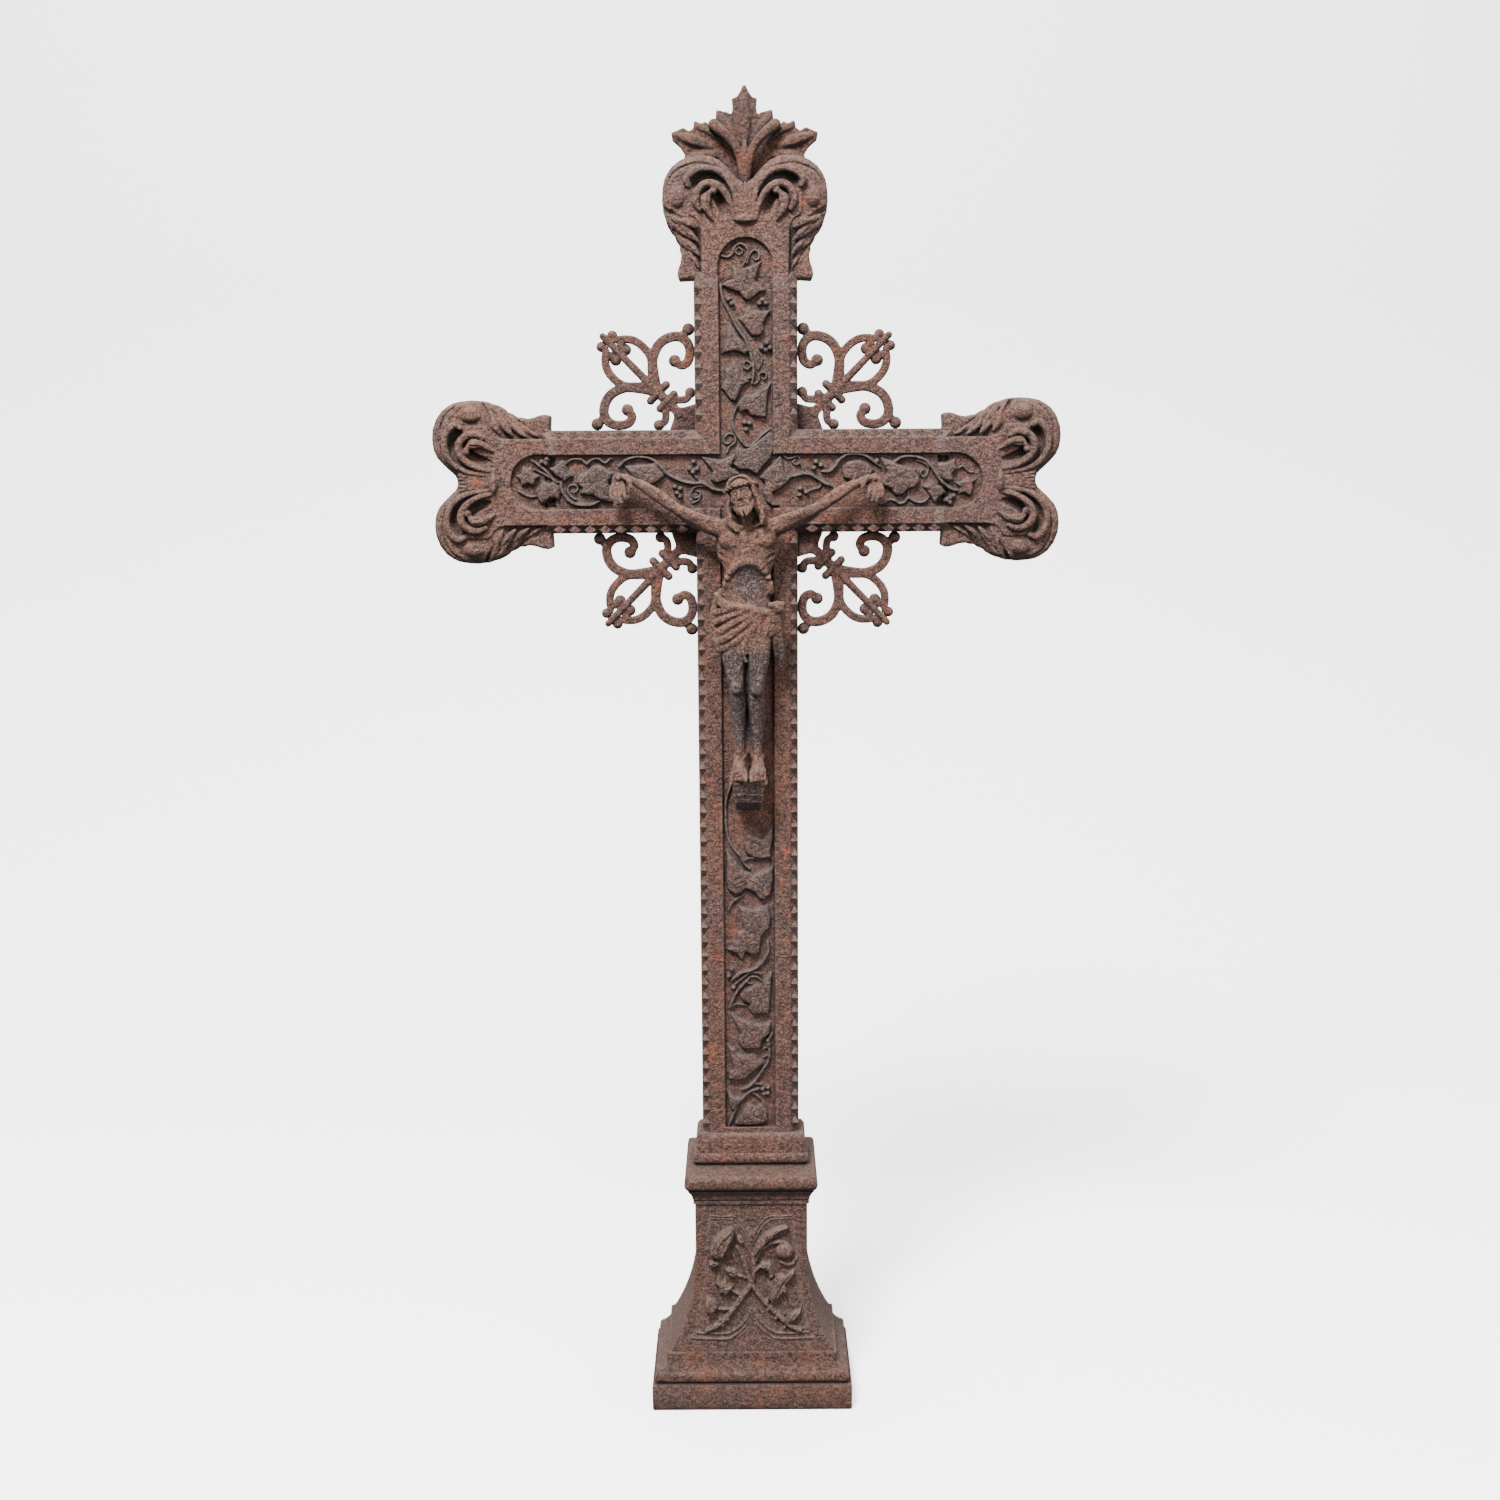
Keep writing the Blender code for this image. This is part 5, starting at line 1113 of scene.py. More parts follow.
ROSEBUD = ((-22, 237), (-27, 238), (-39, 231), (-47, 223), (-52, 213), (-53, 204), (-50, 197), (-44, 194),
           (-36, 196), (-30, 203), (-25, 213), (-21, 224), (-20, 232))
BUD_FOLDS = (
    ((-24, 234, 1.5), (-33, 227, 2.6), (-41, 217, 3.0), (-44, 207, 2.6), (-42, 198, 1.6)),
    ((-23, 230, 1.2), (-28, 220, 2.4), (-32, 210, 2.6), (-36, 201, 1.8)),
    ((-44, 222, 1.0), (-49, 212, 2.0), (-49, 203, 1.6)),
)
FRONT_LEAVES = (
    ((-54, 185), (-54, 191), (-48, 195), (-37, 191), (-40, 187), (-49, 184)),
    ((-27, 205), (-20, 200), (-17, 191), (-18, 186), (-21, 189), (-23, 197)),
    ((-35, 182), (-28, 184), (-20, 183), (-16, 176), (-21, 170), (-27, 171), (-31, 175)),
    ((-47, 163), (-41, 171), (-37, 166), (-33, 171), (-29, 163), (-21, 160), (-26, 153), (-33, 142),
     (-37, 149), (-42, 151), (-42, 157)),
    ((-57, 147), (-52, 144), (-44, 140), (-41, 132), (-46, 124), (-53, 120), (-59, 126), (-60, 135)),
    ((-36, 113), (-31, 120), (-26, 117), (-28, 112)),
    ((2, 194), (1, 205), (7, 219), (15, 229), (27, 236), (37, 239), (44, 240), (48, 235), (38, 231),
     (32, 226), (28, 221), (19, 214), (12, 206), (5, 197)),
    ((0, 174), (4, 184), (13, 192), (24, 192), (28, 183), (30, 173), (22, 165), (19, 178), (11, 182),
     (6, 177), (3, 169)),
    ((19, 153), (19, 162), (29, 174), (42, 176), (54, 183), (55, 176), (49, 167), (43, 161), (46, 152),
     (38, 147), (30, 138), (25, 133), (21, 141)),
    ((41, 113), (45, 122), (52, 126), (63, 131), (62, 122), (55, 114), (44, 106)),
)
# Place, radius and height of the seed capsule
CAPSULE = (41, 205, 11.5, 11.5)
FRONT_STEMS = (
    ((-56, 100, 2.4), (-45, 106, 2.8), (-34, 114, 2.8), (-21, 131, 2.8), (-10, 147, 2.8), (-3, 157, 2.6),
     (2, 170, 2.4), (3, 184, 2.4), (2, 200, 2.2)),
    ((60, 100, 2.4), (48, 106, 2.8), (37, 116, 2.8), (26, 127, 2.8), (14, 140, 2.8), (4, 154, 2.6),
     (-3, 168, 2.4), (-7, 182, 2.4), (-11, 196, 2.2), (-18, 210, 1.6)),
    ((4, 190, 1.8), (11, 204, 2.0), (20, 213, 2.2), (31, 217, 2.2), (43, 215, 1.6)),
    ((37, 191, 2.4), (44, 187, 2.0), (52, 189, 1.6), (56, 195, 1.0)),
    ((-3, 168, 1.4), (-14, 172, 1.6), (-22, 174, 1.6)),
    ((-12, 146, 1.4), (-20, 150, 1.6), (-28, 154, 1.6)),
    ((-24, 128, 1.4), (-38, 128, 1.6), (-46, 130, 1.6)),
    ((16, 138, 1.4), (22, 143, 1.6), (26, 148, 1.6)),
    ((36, 116, 1.4), (43, 114, 1.6), (46, 115, 1.6)),
    ((-15, 222, 3.0), (-13, 218, 3.2)),
)
THORNS = ((-36, 108), (-40, 115), (-15, 145), (20, 128), (30, 117), (41, 105), (20, 138))
LEFT_BORDER = (
    ((-51, 247, 1.2), (-38, 247, 1.2), (-24, 246, 1.2), (-16, 240, 1.2), (-9, 231, 1.2), (-4, 219, 1.1)),
    ((-49, 251, 1.2), (-36, 250, 1.2), (-22, 250, 1.2), (-13, 244, 1.2), (-6, 234, 1.2), (-1, 223, 1.1)),
    ((-70, 97, 1.6), (-50, 96, 1.7), (-32, 96, 1.7), (-24, 99, 1.7), (-14, 106, 1.6), (-6, 116, 1.5),
     (-1, 128, 1.2)),
    ((-75, 90, 1.7), (-52, 89, 1.7), (-30, 89, 1.7), (-22, 93, 1.6), (-12, 101, 1.5), (-5, 110, 1.4)),
    ((-51, 245, 0.8), (-53, 215, 0.9), (-58, 170, 0.9), (-63, 135, 0.9), (-70, 98, 0.9)),
)


def make_flowers():
    relief = Relief((-80, 84), (80, 258), FLOWER_STEP)
    for path in LEFT_BORDER:
        relief.strip(path, 1.5)
        relief.strip([(1 - x, z, radius) for x, z, radius in path], 1.5)
    for path in FRONT_STEMS:
        relief.strip([(x, z, radius + 1.1) for x, z, radius in path], 1.5)
    for outline in FRONT_LEAVES:
        tips, middle = tips_of(outline)
        relief.leaf(outline, tuple(middle), tips, 5.4, 4.4, 1.8)
    relief.leaf(ROSEBUD, (-40, 199), [(-24, 234)], 4.6, 7.4)
    slices, x, z = relief.window((-60, 185), (-15, 245), 0)
    for path in BUD_FOLDS:
        for start, end in zip(path, path[1:]):
            apart, _ = to_segment((x, z), start[:2], end[:2])
            relief.height[slices] += 1.6 * np.exp(-(apart / 1.7) ** 2) * (relief.height[slices] > 4)
    relief.ball(*CAPSULE)
    for x, z in THORNS:
        relief.ball(x, z, 2.0, 7.2)
    relief.soften(1)

    def die_front(x, z):
        return DIE_HALF[1] + DIE_FLARE[1] * flare(z) - 0.5

    lift = Matrix(((1, 0, 0, 0), (0, 0, -1, 0), (0, 1, 0, 0), (0, 0, 0, 1)))
    matrix = Matrix.Scale(MM, 4) @ lift
    relief.make("front_flowers", matrix, flower_iron, "pedestal_iron", ["pedestal"], die_front)


# Palmette over the top scrolls. Places are (right, up) from the crossing, for its right half.

CROWN_OUTLINE = (
    (0, 447), (9, 434), (14.5, 432.5), (13.5, 422), (15, 415), (19.5, 417.5), (32, 420), (33, 411),
    (35.5, 404), (40, 403.5), (45, 407.5), (50, 404.5), (57, 408.5), (59, 400), (64, 397), (70, 401),
    (84, 395), (83, 387), (74, 379.5), (69, 372), (69, 364), (46, 371), (30, 366), (24, 352), (22, 338),
)
CROWN_DIPS = ((15, 416), (36, 405), (61, 398), (72, 377))
CROWN_STEM = ((0, 336, 11, 5.0), (0, 358, 13, 5.2), (0, 372, 13, 4.6), (0, 384, 10, 2.6))
CROWN_CURL = ((3.0, 345, 11, 3.8), (4.4, 360, 13, 4.4), (8.6, 374, 15, 5.0), (17, 386, 16.5, 5.4),
              (28, 396, 16, 6.0), (35, 402, 12.5, 6.6))
CROWN_GROOVE = ((13, 352, 10, 2.5), (17, 366, 10, 5.0), (28, 380, 10, 5.4), (44, 388, 9, 3.0))
# Height that the dips between the lobes spread from
CROWN_HEART = 372
CROWN_LOBES = (((0, 378), (0, 444)), ((10, 384), (30, 417)), ((30, 384), (56, 405)), ((40, 380), (81, 393)),
               ((36, 370), (67, 367)))


def make_crown():
    clay = Clay((-90, 330, -14), (90, 452, 26), CROWN_VOXEL)
    whole = list(CROWN_OUTLINE) + [(-x, y) for x, y in reversed(CROWN_OUTLINE) if x > 0]
    clay.slab(whole, -9, 3.5, 2.0)
    clay.stroke(CROWN_STEM, 0.8)
    for side in (-1, 1):
        for (x0, y0), (x1, y1) in CROWN_LOBES:
            x, y = (x0 + x1) / 2, (y0 + y1) / 2
            lobe = ((x0, y0, 3, 4.5), (x, y, 3.5, 6.5), (x1, y1, 3, 1.6))
            clay.stroke(to_side(lobe, side), 3)
            vein = ((x0, y0, 9, 0.9), (x, y, 11, 1.5), (x1, y1, 5.5, 0.8))
            clay.stroke(to_side(vein, side), 1.0, True)
        for x, y in CROWN_DIPS:
            middle = CROWN_HEART + (y - CROWN_HEART) * 0.65
            dip = ((x * 0.3, 374, 12, 1.0), (x * 0.65, middle, 9.5, 2.8), (x, y, 7.5, 4.4))
            clay.stroke(to_side(dip, side), 1.5, True)
        clay.stroke(to_side(CROWN_GROOVE, side), 1.5, True)
        clay.stroke(to_side(CROWN_CURL, side), 0.6)
        vein = [(x, y + 1.5, h + radius + 0.4, 0.9) for x, y, h, radius in CROWN_CURL[1:]]
        clay.stroke(to_side(vein, side), 0.8, True)
    clay.limit(1, 338.6, True)
    make_clay_mesh("crown_leaf", clay, face_matrix(), crown_iron, ["crown_palmette"])


# Corner bracket. Places are (along the arm, along the shaft) from the corner of the cross.

OUTER_CURL = (
    (46, 48, 6.8), (48.5, 62, 6.6), (49.5, 76, 5.8), (48, 86, 5.6), (42, 98, 5.6), (31.8, 105.4, 5.6),
    (19, 107.4, 5.6), (9.6, 102, 5.6), (5.6, 92, 5.5), (7.6, 79.5, 5.3), (15.2, 74.3, 5.0), (22, 78, 4.8),
)
INNER_ARC = ((48, 66, 5.2), (52, 85, 4.9), (62, 97.5, 4.8), (72.5, 103.6, 4.7), (83, 104.8, 4.4),
             (92, 104, 3.9), (95.6, 107, 3.8))
INNER_CURL = ((83, 104, 4.0), (86.5, 99, 4.0), (82, 94, 4.2))
ROOT_CURL = ((29, 36, 4.6), (20, 34.6, 4.4), (11, 35.4, 4.4), (6.4, 40, 4.2))
BRACKET_BALLS = ((23.4, 79.6, 7.2), (80.8, 92.4, 6.8), (96, 109, 6.0), (5.6, 43, 6.4), (7, 115.6, 7.2))
COLLARS = ((43, 13.0), (33, 11.5))
BAR = ((20, 20, 5.4), (38, 38, 5.8), (52, 52, 4.2))
BAR_LEAF = ((38, 38, 2, 5.6), (56, 56, 3, 4.8), (84, 84.5, 4, 4.3), (107, 108, 4, 4.0))
TIP_STEM = ((16, 108), (9, 114))
SHIELD = ((-3, -3), (31, -3), (28, 6), (25, 14), (26, 22), (33, 33), (23, 27), (15, 26), (7, 28), (-3, 31))
STRIP_HALF_DEPTH = 6.0


def make_bracket(name, along_arm, along_shaft):
    """Pierced scroll bracket. The two directions say which corner it stands in."""
    clay = Clay((-4, -4, -9), (124, 124, 10), BRACKET_VOXEL)
    clay.slab(SHIELD, -4.6, 4.6, 1.5)
    clay.ellipsoid((0, 0, 12), (30, 30, 11), 2.0, True)
    clay.strip(BAR, STRIP_HALF_DEPTH, 1.6, steps=1)
    clay.stroke(BAR_LEAF, 0.6, steps=1)
    for mirror in (False, True):
        def placed(points):
            return [(v, u, *rest) if mirror else (u, v, *rest) for u, v, *rest in points]

        for points in (OUTER_CURL, INNER_ARC, INNER_CURL, ROOT_CURL):
            clay.strip(placed(points), STRIP_HALF_DEPTH, 2.4, soft=1.0)
        for u, v, radius in placed(BRACKET_BALLS):
            clay.ellipsoid((u, v, 0), (radius, radius, 7.0), 0.8)
        clay.stroke([(*place, 0, 4.0) for place in placed(TIP_STEM)], 1)
        for middle, reach in COLLARS:
            end = reach * 0.71
            (u, v), = placed([(middle - end, middle + end)])
            clay.stroke(((middle, middle, 0, 4.8), (u, v, 0, 4.6)), 0.6, flat=1.7)
            clay.ellipsoid((u, v, 0), (4.8, 4.8, 6.0), 0.6)
    for axis in (0, 1):
        clay.limit(axis, -1.2, True)
    matrix = Matrix.Scale(MM, 4) @ Matrix((
        (along_arm, 0, 0, along_arm * (SHAFT_WIDTH / 2)),
        (0, 0, -1, 0),
        (0, along_shaft, 0, CROSSING_Z + along_shaft * (ARM_WIDTH / 2)),
        (0, 0, 0, 1),
    ))
    make_clay_mesh(name + "_scrolls", clay, matrix, bracket_iron, [name])


def make_brackets():
    make_bracket("corner_bracket_upper_left", -1, 1)
    make_bracket("corner_bracket_upper_right", 1, 1)
    make_bracket("corner_bracket_lower_left", -1, -1)
    make_bracket("corner_bracket_lower_right", 1, -1)


# Figure. Places are (right, height above the soles, forward of its flat back), in mm, with a radius.

LIMBS = (
    ((-28, 296, 23, 11), (-52, 305, 25, 7.6), (-72, 315, 22, 6.6), (-90, 326, 19, 5.8)),
    ((-89, 325, 19, 5.6), (-106, 336, 18, 6.2), (-124, 348, 15, 4.8), (-139, 357, 12, 4.0)),
    ((28, 297, 23, 11), (52, 307, 25, 7.6), (72, 316, 22, 6.6), (90, 325, 19, 5.8)),
    ((89, 324, 19, 5.6), (106, 335, 18, 6.2), (124, 346, 15, 4.8), (142, 355, 12, 4.0)),
    ((-17, 190, 21, 17), (-16, 150, 27, 14.5), (-12.6, 116, 34, 10), (-11.4, 84, 27, 8.8),
     (-10.6, 58, 23, 6.8), (-9.5, 28, 21, 5.4)),
    ((15, 190, 21, 16), (12, 150, 28, 13.6), (9.2, 113, 35, 10), (9.6, 82, 27, 8.6), (10.5, 56, 23, 6.8),
     (11, 28, 21, 5.4)),
)
# Iron left between the legs: its outline and how far forward it comes
LEG_WEBS = (
    (((-12, 170), (12, 170), (9, 104), (-10, 104)), 29),
    (((-10, 104), (9, 104), (9, 30), (-8, 30)), 20),
)
MUSCLES = (
    ((-42, 307, 28, 5.0), (-58, 312, 29, 4.8), (-74, 320, 25, 3.6)),
    ((-44, 297, 24, 5.6), (-62, 303, 21, 4.8), (-80, 315, 18, 3.6)),
    ((-93, 333, 20, 3.8), (-107, 342, 18, 3.8), (-124, 352, 14, 2.6)),
    ((42, 309, 28, 5.0), (58, 314, 29, 4.8), (74, 320, 25, 3.6)),
    ((44, 299, 24, 5.6), (62, 304, 21, 4.8), (80, 313, 18, 3.6)),
    ((93, 331, 20, 3.8), (107, 341, 18, 3.8), (124, 350, 14, 2.6)),
    ((-25, 176, 28, 7.0), (-22.5, 150, 31, 7.0), (-18.5, 126, 33, 4.0)),
    ((-10, 176, 33, 6.0), (-10, 150, 35, 6.4), (-11, 126, 37, 4.0)),
    ((20, 176, 30, 7.0), (19, 150, 33, 6.6), (15, 126, 34, 4.2)),
    ((7, 172, 34, 6.0), (7, 148, 36, 6.4), (7.5, 124, 38, 4.0)),
    ((-16.5, 96, 23, 4.8), (-16.5, 78, 21, 5.0), (-13.5, 56, 19, 3.6)),
    ((15.5, 94, 23, 4.8), (15.5, 76, 21, 5.0), (13.5, 54, 19, 3.6)),
    ((-12.5, 100, 38, 2.6), (-11.5, 64, 29, 2.6), (-10, 32, 24, 2.6)),
    ((10, 98, 38, 2.6), (10.5, 62, 29, 2.6), (10.5, 32, 24, 2.6)),
)
# Rounded masses: place, radii and how softly each joins what is there
MASSES = (
    ((1, 270, 20), (33, 34, 18), 4), ((0, 294, 18), (27, 12, 12), 6), ((0, 236, 19), (27.5, 42, 14), 6),
    ((-15, 284, 29), (17, 13, 9.5), 3), ((17, 285, 29), (16, 13, 9.5), 3), ((0, 222, 24), (23, 24, 12), 6),
    ((-3, 200, 21), (34, 24, 18), 5), ((-37, 300, 24), (11, 10, 10), 3), ((37, 301, 24), (11, 10, 10), 3),
    ((-90, 324, 15), (4.6, 4.6, 5), 3), ((90, 323, 15), (4.6, 4.6, 5), 3), ((-13.5, 113, 43), (6.6, 8, 5),
                                                                            2.5),
    ((10, 111, 44), (6.6, 8, 5), 2.5), ((-15.5, 27, 20), (3, 4, 4), 2), ((-4.6, 28, 20), (3, 4, 4), 2),
    ((5.6, 28, 20), (3, 4, 4), 2), ((16.5, 27, 20), (3, 4, 4), 2), ((-15, 280, 38), (1.6, 1.6, 1.4), 1),
    ((17, 281, 38), (1.6, 1.6, 1.4), 1), ((-30, 280, 17), (6, 20, 9), 6), ((31, 281, 17), (6, 20, 9), 6),
)
RIB_ARCH = ((-27, 222, 25, 3.6), (-24, 240, 30, 3.8), (-13, 254, 34, 4.0), (2, 259, 35, 4.0),
            (15, 254, 34, 4.0), (25, 240, 30, 3.8), (28, 224, 25, 3.6))
COLLARBONES = (((-30, 305, 27, 2.4), (-16, 302, 31, 2.4), (-4, 298, 33, 2.0)),
               ((30, 306, 27, 2.4), (16, 303, 31, 2.4), (3, 298, 33, 2.0)))
NECK = (
    ((0, 294, 18, 11), (-2, 320, 25, 9.6)), ((-10, 318, 26, 3.0), (-6, 308, 30, 2.6), (-1, 299, 33, 1.8)),
    ((8, 318, 27, 3.0), (5, 308, 31, 2.6), (1, 299, 33, 1.8)), ((-26, 302, 18, 6), (-12, 312, 17, 5)),
    ((26, 303, 18, 6), (10, 313, 17, 5)),
)
BODY_GROOVES = (
    ((1, 294, 41, 1.6), (2, 276, 41, 1.8), (2, 262, 40, 1.4)),
    ((3, 250, 36, 1.2), (3, 236, 36, 1.6), (2, 222, 37.5, 1.2)),
    ((-12, 244, 35, 0.9), (-14, 232, 35.5, 1.3), (-12, 216, 36, 0.9)),
    ((16, 244, 35, 0.9), (18, 232, 35.5, 1.3), (16, 216, 36, 0.9)),
    ((-33, 276, 31, 1.0), (-22, 271, 37.5, 1.3), (-6, 272, 40, 1.0)),
    ((34, 277, 31, 1.0), (24, 272, 37.5, 1.3), (9, 272, 40, 1.0)),
    ((-20, 111, 43, 0.8), (-18, 104, 42, 1.2), (-12, 101.5, 43, 1.0), (-7, 104, 43.5, 0.8)),
    ((2, 109, 45, 0.8), (4, 102, 44, 1.2), (9, 99.5, 44, 1.0), (15, 103, 43, 0.8)),
)
HOLLOWS = (
    ((2, 236, 44), (17, 19, 10), 4), ((-1, 300, 36), (4, 4, 3.4), 2), ((3, 223, 37.5), (1.7, 2.2, 2.4), 1),
    ((-2, 130, 42), (2.6, 40, 12), 3), ((-34, 288, 40), (7, 4, 4), 3), ((35, 289, 40), (7, 4, 4), 3),
)
# Grooves under the ribs: the level of the highest, their pitch and how many there are
RIB_TOP = 263
RIB_PITCH = 9.0
RIB_COUNT = 4
# How far out the hands are, the level of each, and how long the viewer's right fingers are as a share
PALM_REACH = 149.5
PALM_LEVELS = ((-1, 352), (1, 350))
RIGHT_FINGERS = 0.86
FINGER_LEVEL = 352
FINGERS = (
    ((-154, 350, 10, 3.2), (-158, 340, 15, 2.7), (-155, 331, 16, 2.4), (-151, 334, 12, 2.0)),
    ((-151, 349, 11, 3.2), (-153, 337, 17, 2.8), (-150.5, 327, 18, 2.5), (-147, 331, 13, 2.0)),
    ((-147, 349, 11, 3.2), (-148, 337, 18, 2.8), (-146, 328, 19, 2.5), (-143, 332, 14, 2.0)),
    ((-143, 350, 11, 3.0), (-142.5, 340, 18, 2.6), (-141, 332, 19, 2.3), (-139, 335, 14, 1.9)),
    ((-144, 358, 13, 3.2), (-137, 353, 18, 2.8), (-134, 345, 19, 2.3)),
)
# Folds of the loincloth as (right, height, radius); they lie on the hips
CLOTH_HIP = ((-27, 219, 19, 10), (-30.5, 200, 20, 12.5), (-29.5, 181, 20, 13), (-24, 168, 22, 11.5),
             (-20, 163, 24, 10))
CLOTH_FOLDS = (
    ((-36, 222, 3.2), (-30, 215, 3.6), (-19, 208, 3.8), (-6, 206, 4.2), (8, 204, 4.2), (20, 200, 4.2),
     (33, 205, 4.2)),
    ((-40, 198, 3.4), (-33, 201, 4.4), (-22, 204, 4.6), (-11, 206, 4.0), (2, 205, 3.0)),
    ((-41, 187, 3.4), (-33, 191, 4.6), (-20, 197, 4.8), (-6, 202, 4.4), (8, 203, 3.4)),
    ((-40, 175, 3.4), (-30, 180, 4.8), (-17, 188, 5.0), (-3, 196, 4.6), (10, 201, 3.6)),
    ((-36, 165, 3.6), (-26, 170, 4.8), (-13, 179, 4.8), (0, 189, 4.4), (12, 197, 3.6)),
    ((-33, 157, 3.4), (-22, 161, 4.4), (-9, 170, 4.2), (3, 181, 4.0), (14, 193, 3.4), (22, 199, 2.8)),
    ((26, 199, 4.2), (24, 188, 4.4), (21, 177, 3.6)),
    ((31, 199, 3.8), (29.5, 186, 4.2), (27, 175, 3.2)),
    ((12, 196, 3.4), (14, 186, 3.6), (13, 176, 3.0)),
    ((3, 180, 3.0), (-2, 170, 3.6), (-6, 160, 3.6), (-5, 150, 3.0), (-2, 144, 2.2)),
    ((8, 184, 2.8), (4, 174, 3.2), (1, 164, 3.0), (0, 154, 2.2)),
    ((-35, 216, 3.0), (-39, 205, 4.0), (-40.5, 192, 4.5), (-40.5, 180, 4.5), (-38, 168, 4.3),
     (-33, 158, 3.8)),
    ((-35, 214, 4.4), (-27, 209, 4.6)),
)
# Valleys between the folds
CLOTH_VALLEYS = (
    ((-41, 193, 0.6), (-34, 196.5, 1.6), (-21, 200.8, 1.7), (-8, 204.5, 1.0)),
    ((-41, 181, 0.6), (-32, 185.5, 1.6), (-18, 192.8, 1.8), (-4, 199.5, 1.0)),
    ((-38, 170, 0.6), (-28, 175.5, 1.6), (-15, 183.5, 1.8), (-1, 192.5, 1.0)),
    ((-34, 161, 0.6), (-24, 166, 1.5), (-11, 174.5, 1.7), (2, 185, 1.0)),
)
CLOTH_TAIL = (
    ((33, 203, 33, 4.6), (36, 186, 30, 5.0), (38, 168, 26, 4.8), (39.5, 150, 22, 4.2), (39, 136, 18, 3.0)),
    ((29, 198, 35, 3.6), (31, 180, 32, 3.8), (32, 162, 27, 3.4), (33.5, 148, 22, 2.6)),
    ((37, 200, 26, 3.6), (41, 182, 22, 3.8), (42.5, 164, 18, 3.4), (42, 142, 14, 2.6)),
)
TAIL_GROOVES = (
    ((32, 192, 40, 0.8), (35, 174, 35, 1.3), (37.5, 156, 29, 1.0)),
    ((38, 190, 36, 0.8), (42, 172, 29, 1.3), (43.5, 154, 23, 1.0)),
)
KNOT = (((35, 206, 33), (8.5, 8, 7.5), 1.0), ((29, 209, 36), (5, 4, 4.5), 0.8), ((41, 209, 30),
                                                                                 (4.5, 4.5, 5), 0.8))
KNOT_GROOVE = ((33, 213, 38, 1.0), (36, 206, 41, 1.3), (33, 199, 39, 1.0))
# Tapered block under the feet: (half width, height, reach forward) from its top down
BLOCK_LEVELS = (
    (22.5, 1, 36), (22.5, -2.5, 36), (19, -4, 35), (18, -14, 32), (16.5, -26, 27), (15.5, -34, 21),
    (13, -38, 10),
)


def on_hips(x):
    """How far forward the hips' surface stands at a distance from their middle."""
    return 19 + 19 * math.sqrt(max(1 - (x / 47) ** 2, 0))


def make_figure_body():
    clay = Clay((-164, -50, -0.6), (164, 372, 62), BODY_VOXEL)
    for limb in LIMBS:
        clay.stroke(limb, 5, steps=4)
    for outline, reach in LEG_WEBS:
        clay.slab(outline, -2, reach, 2, soft=3)
    for place, radii, soft in MASSES:
        clay.ellipsoid(place, radii, soft)
    for muscle in MUSCLES:
        clay.stroke(muscle, 3)
    clay.stroke(RIB_ARCH, 5, steps=4)
    for stroke in COLLARBONES + NECK:
        clay.stroke(stroke, 3)
    for place, radii, soft in HOLLOWS:
        clay.ellipsoid(place, radii, soft, True)
    for groove in BODY_GROOVES:
        clay.stroke(groove, 2.5, True)
    for side in (-1, 1):
        for row in range(RIB_COUNT):
            z = RIB_TOP - RIB_PITCH * row
            rib = ((31, z + 6, 24, 0.7), (27, z + 2, 30, 1.4), (19, z - 4, 36.5, 1.0))
            clay.stroke(to_side(rib, side), 3, True)

    # Hands with hanging fingers, a nail head, and the lug that holds each to the arm
    for side, level in PALM_LEVELS:
        x = side * PALM_REACH
        shrink = 1 if side < 0 else RIGHT_FINGERS
        clay.ellipsoid((x, level + 1, 9.5), (8, 9, 5), 2)
        clay.stroke(((x, level + 1, 1, 4.2), (x, level + 1, 9, 4.2)), 1)
        for finger in FINGERS:
            bent = [(-side * u, level + (z - FINGER_LEVEL) * shrink, f, roll) for u, z, f, roll in finger]
            clay.stroke(bent, 0.7)
        clay.ellipsoid((x, level + 4, 15), (2.6, 2.6, 2.0), 0.5)

    # Feet on their block
    for upper, lower in zip(BLOCK_LEVELS, BLOCK_LEVELS[1:]):
        for share in (0, 0.25, 0.5, 0.75):
            half, z, reach = (a + (b - a) * share for a, b in zip(upper, lower))
            drop = (upper[1] - lower[1]) * 0.25 + 0.9
            clay.slab(((-half, z), (half, z), (half, z - drop), (-half, z - drop)), -2, reach, 0.4, soft=0.8)
    for side, middle in ((-1, -11.3), (1, 11.3)):
        clay.stroke(((middle * 0.95, 26, 20, 6.6), (middle, 15, 26, 8.2), (middle, 9, 33, 7.6)), 2)
        for toe in range(5):
            x = middle + side * (toe - 2) * 3.9
            size = 3.0 - 0.3 * toe
            root = (x * 0.9 + middle * 0.1, 13, 30, 2.6)
            clay.stroke((root, (x, 7, 38 - toe, size), (x, 2.4, 41 - toe, size * 0.8)), 1.0)

    # Loincloth, knotted at the viewer's right
    clay.ellipsoid((-3, 192, 21), (41, 25, 19), 3)
    clay.ellipsoid((-19, 172, 26), (22, 16, 17), 3)
    clay.stroke(CLOTH_HIP, 3)
    for fold in CLOTH_FOLDS:
        clay.stroke([(x, z, on_hips(x + 3) + 0.5, radius) for x, z, radius in fold], 1.8)
    for valley in CLOTH_VALLEYS:
        clay.stroke([(x, z, on_hips(x + 3) + 5.0, radius) for x, z, radius in valley], 1.2, True)
    for stroke in CLOTH_TAIL:
        clay.stroke(stroke, 1.0)
    for groove in TAIL_GROOVES:
        clay.stroke(groove, 1.0, True)
    for place, radii, soft in KNOT:
        clay.ellipsoid(place, radii, soft)
    clay.stroke(KNOT_GROOVE, 1, True)
    clay.limit(2, 0.0, True)
    make_clay_mesh("figure_body", clay, figure_matrix(), figure_iron, ["corpus"])


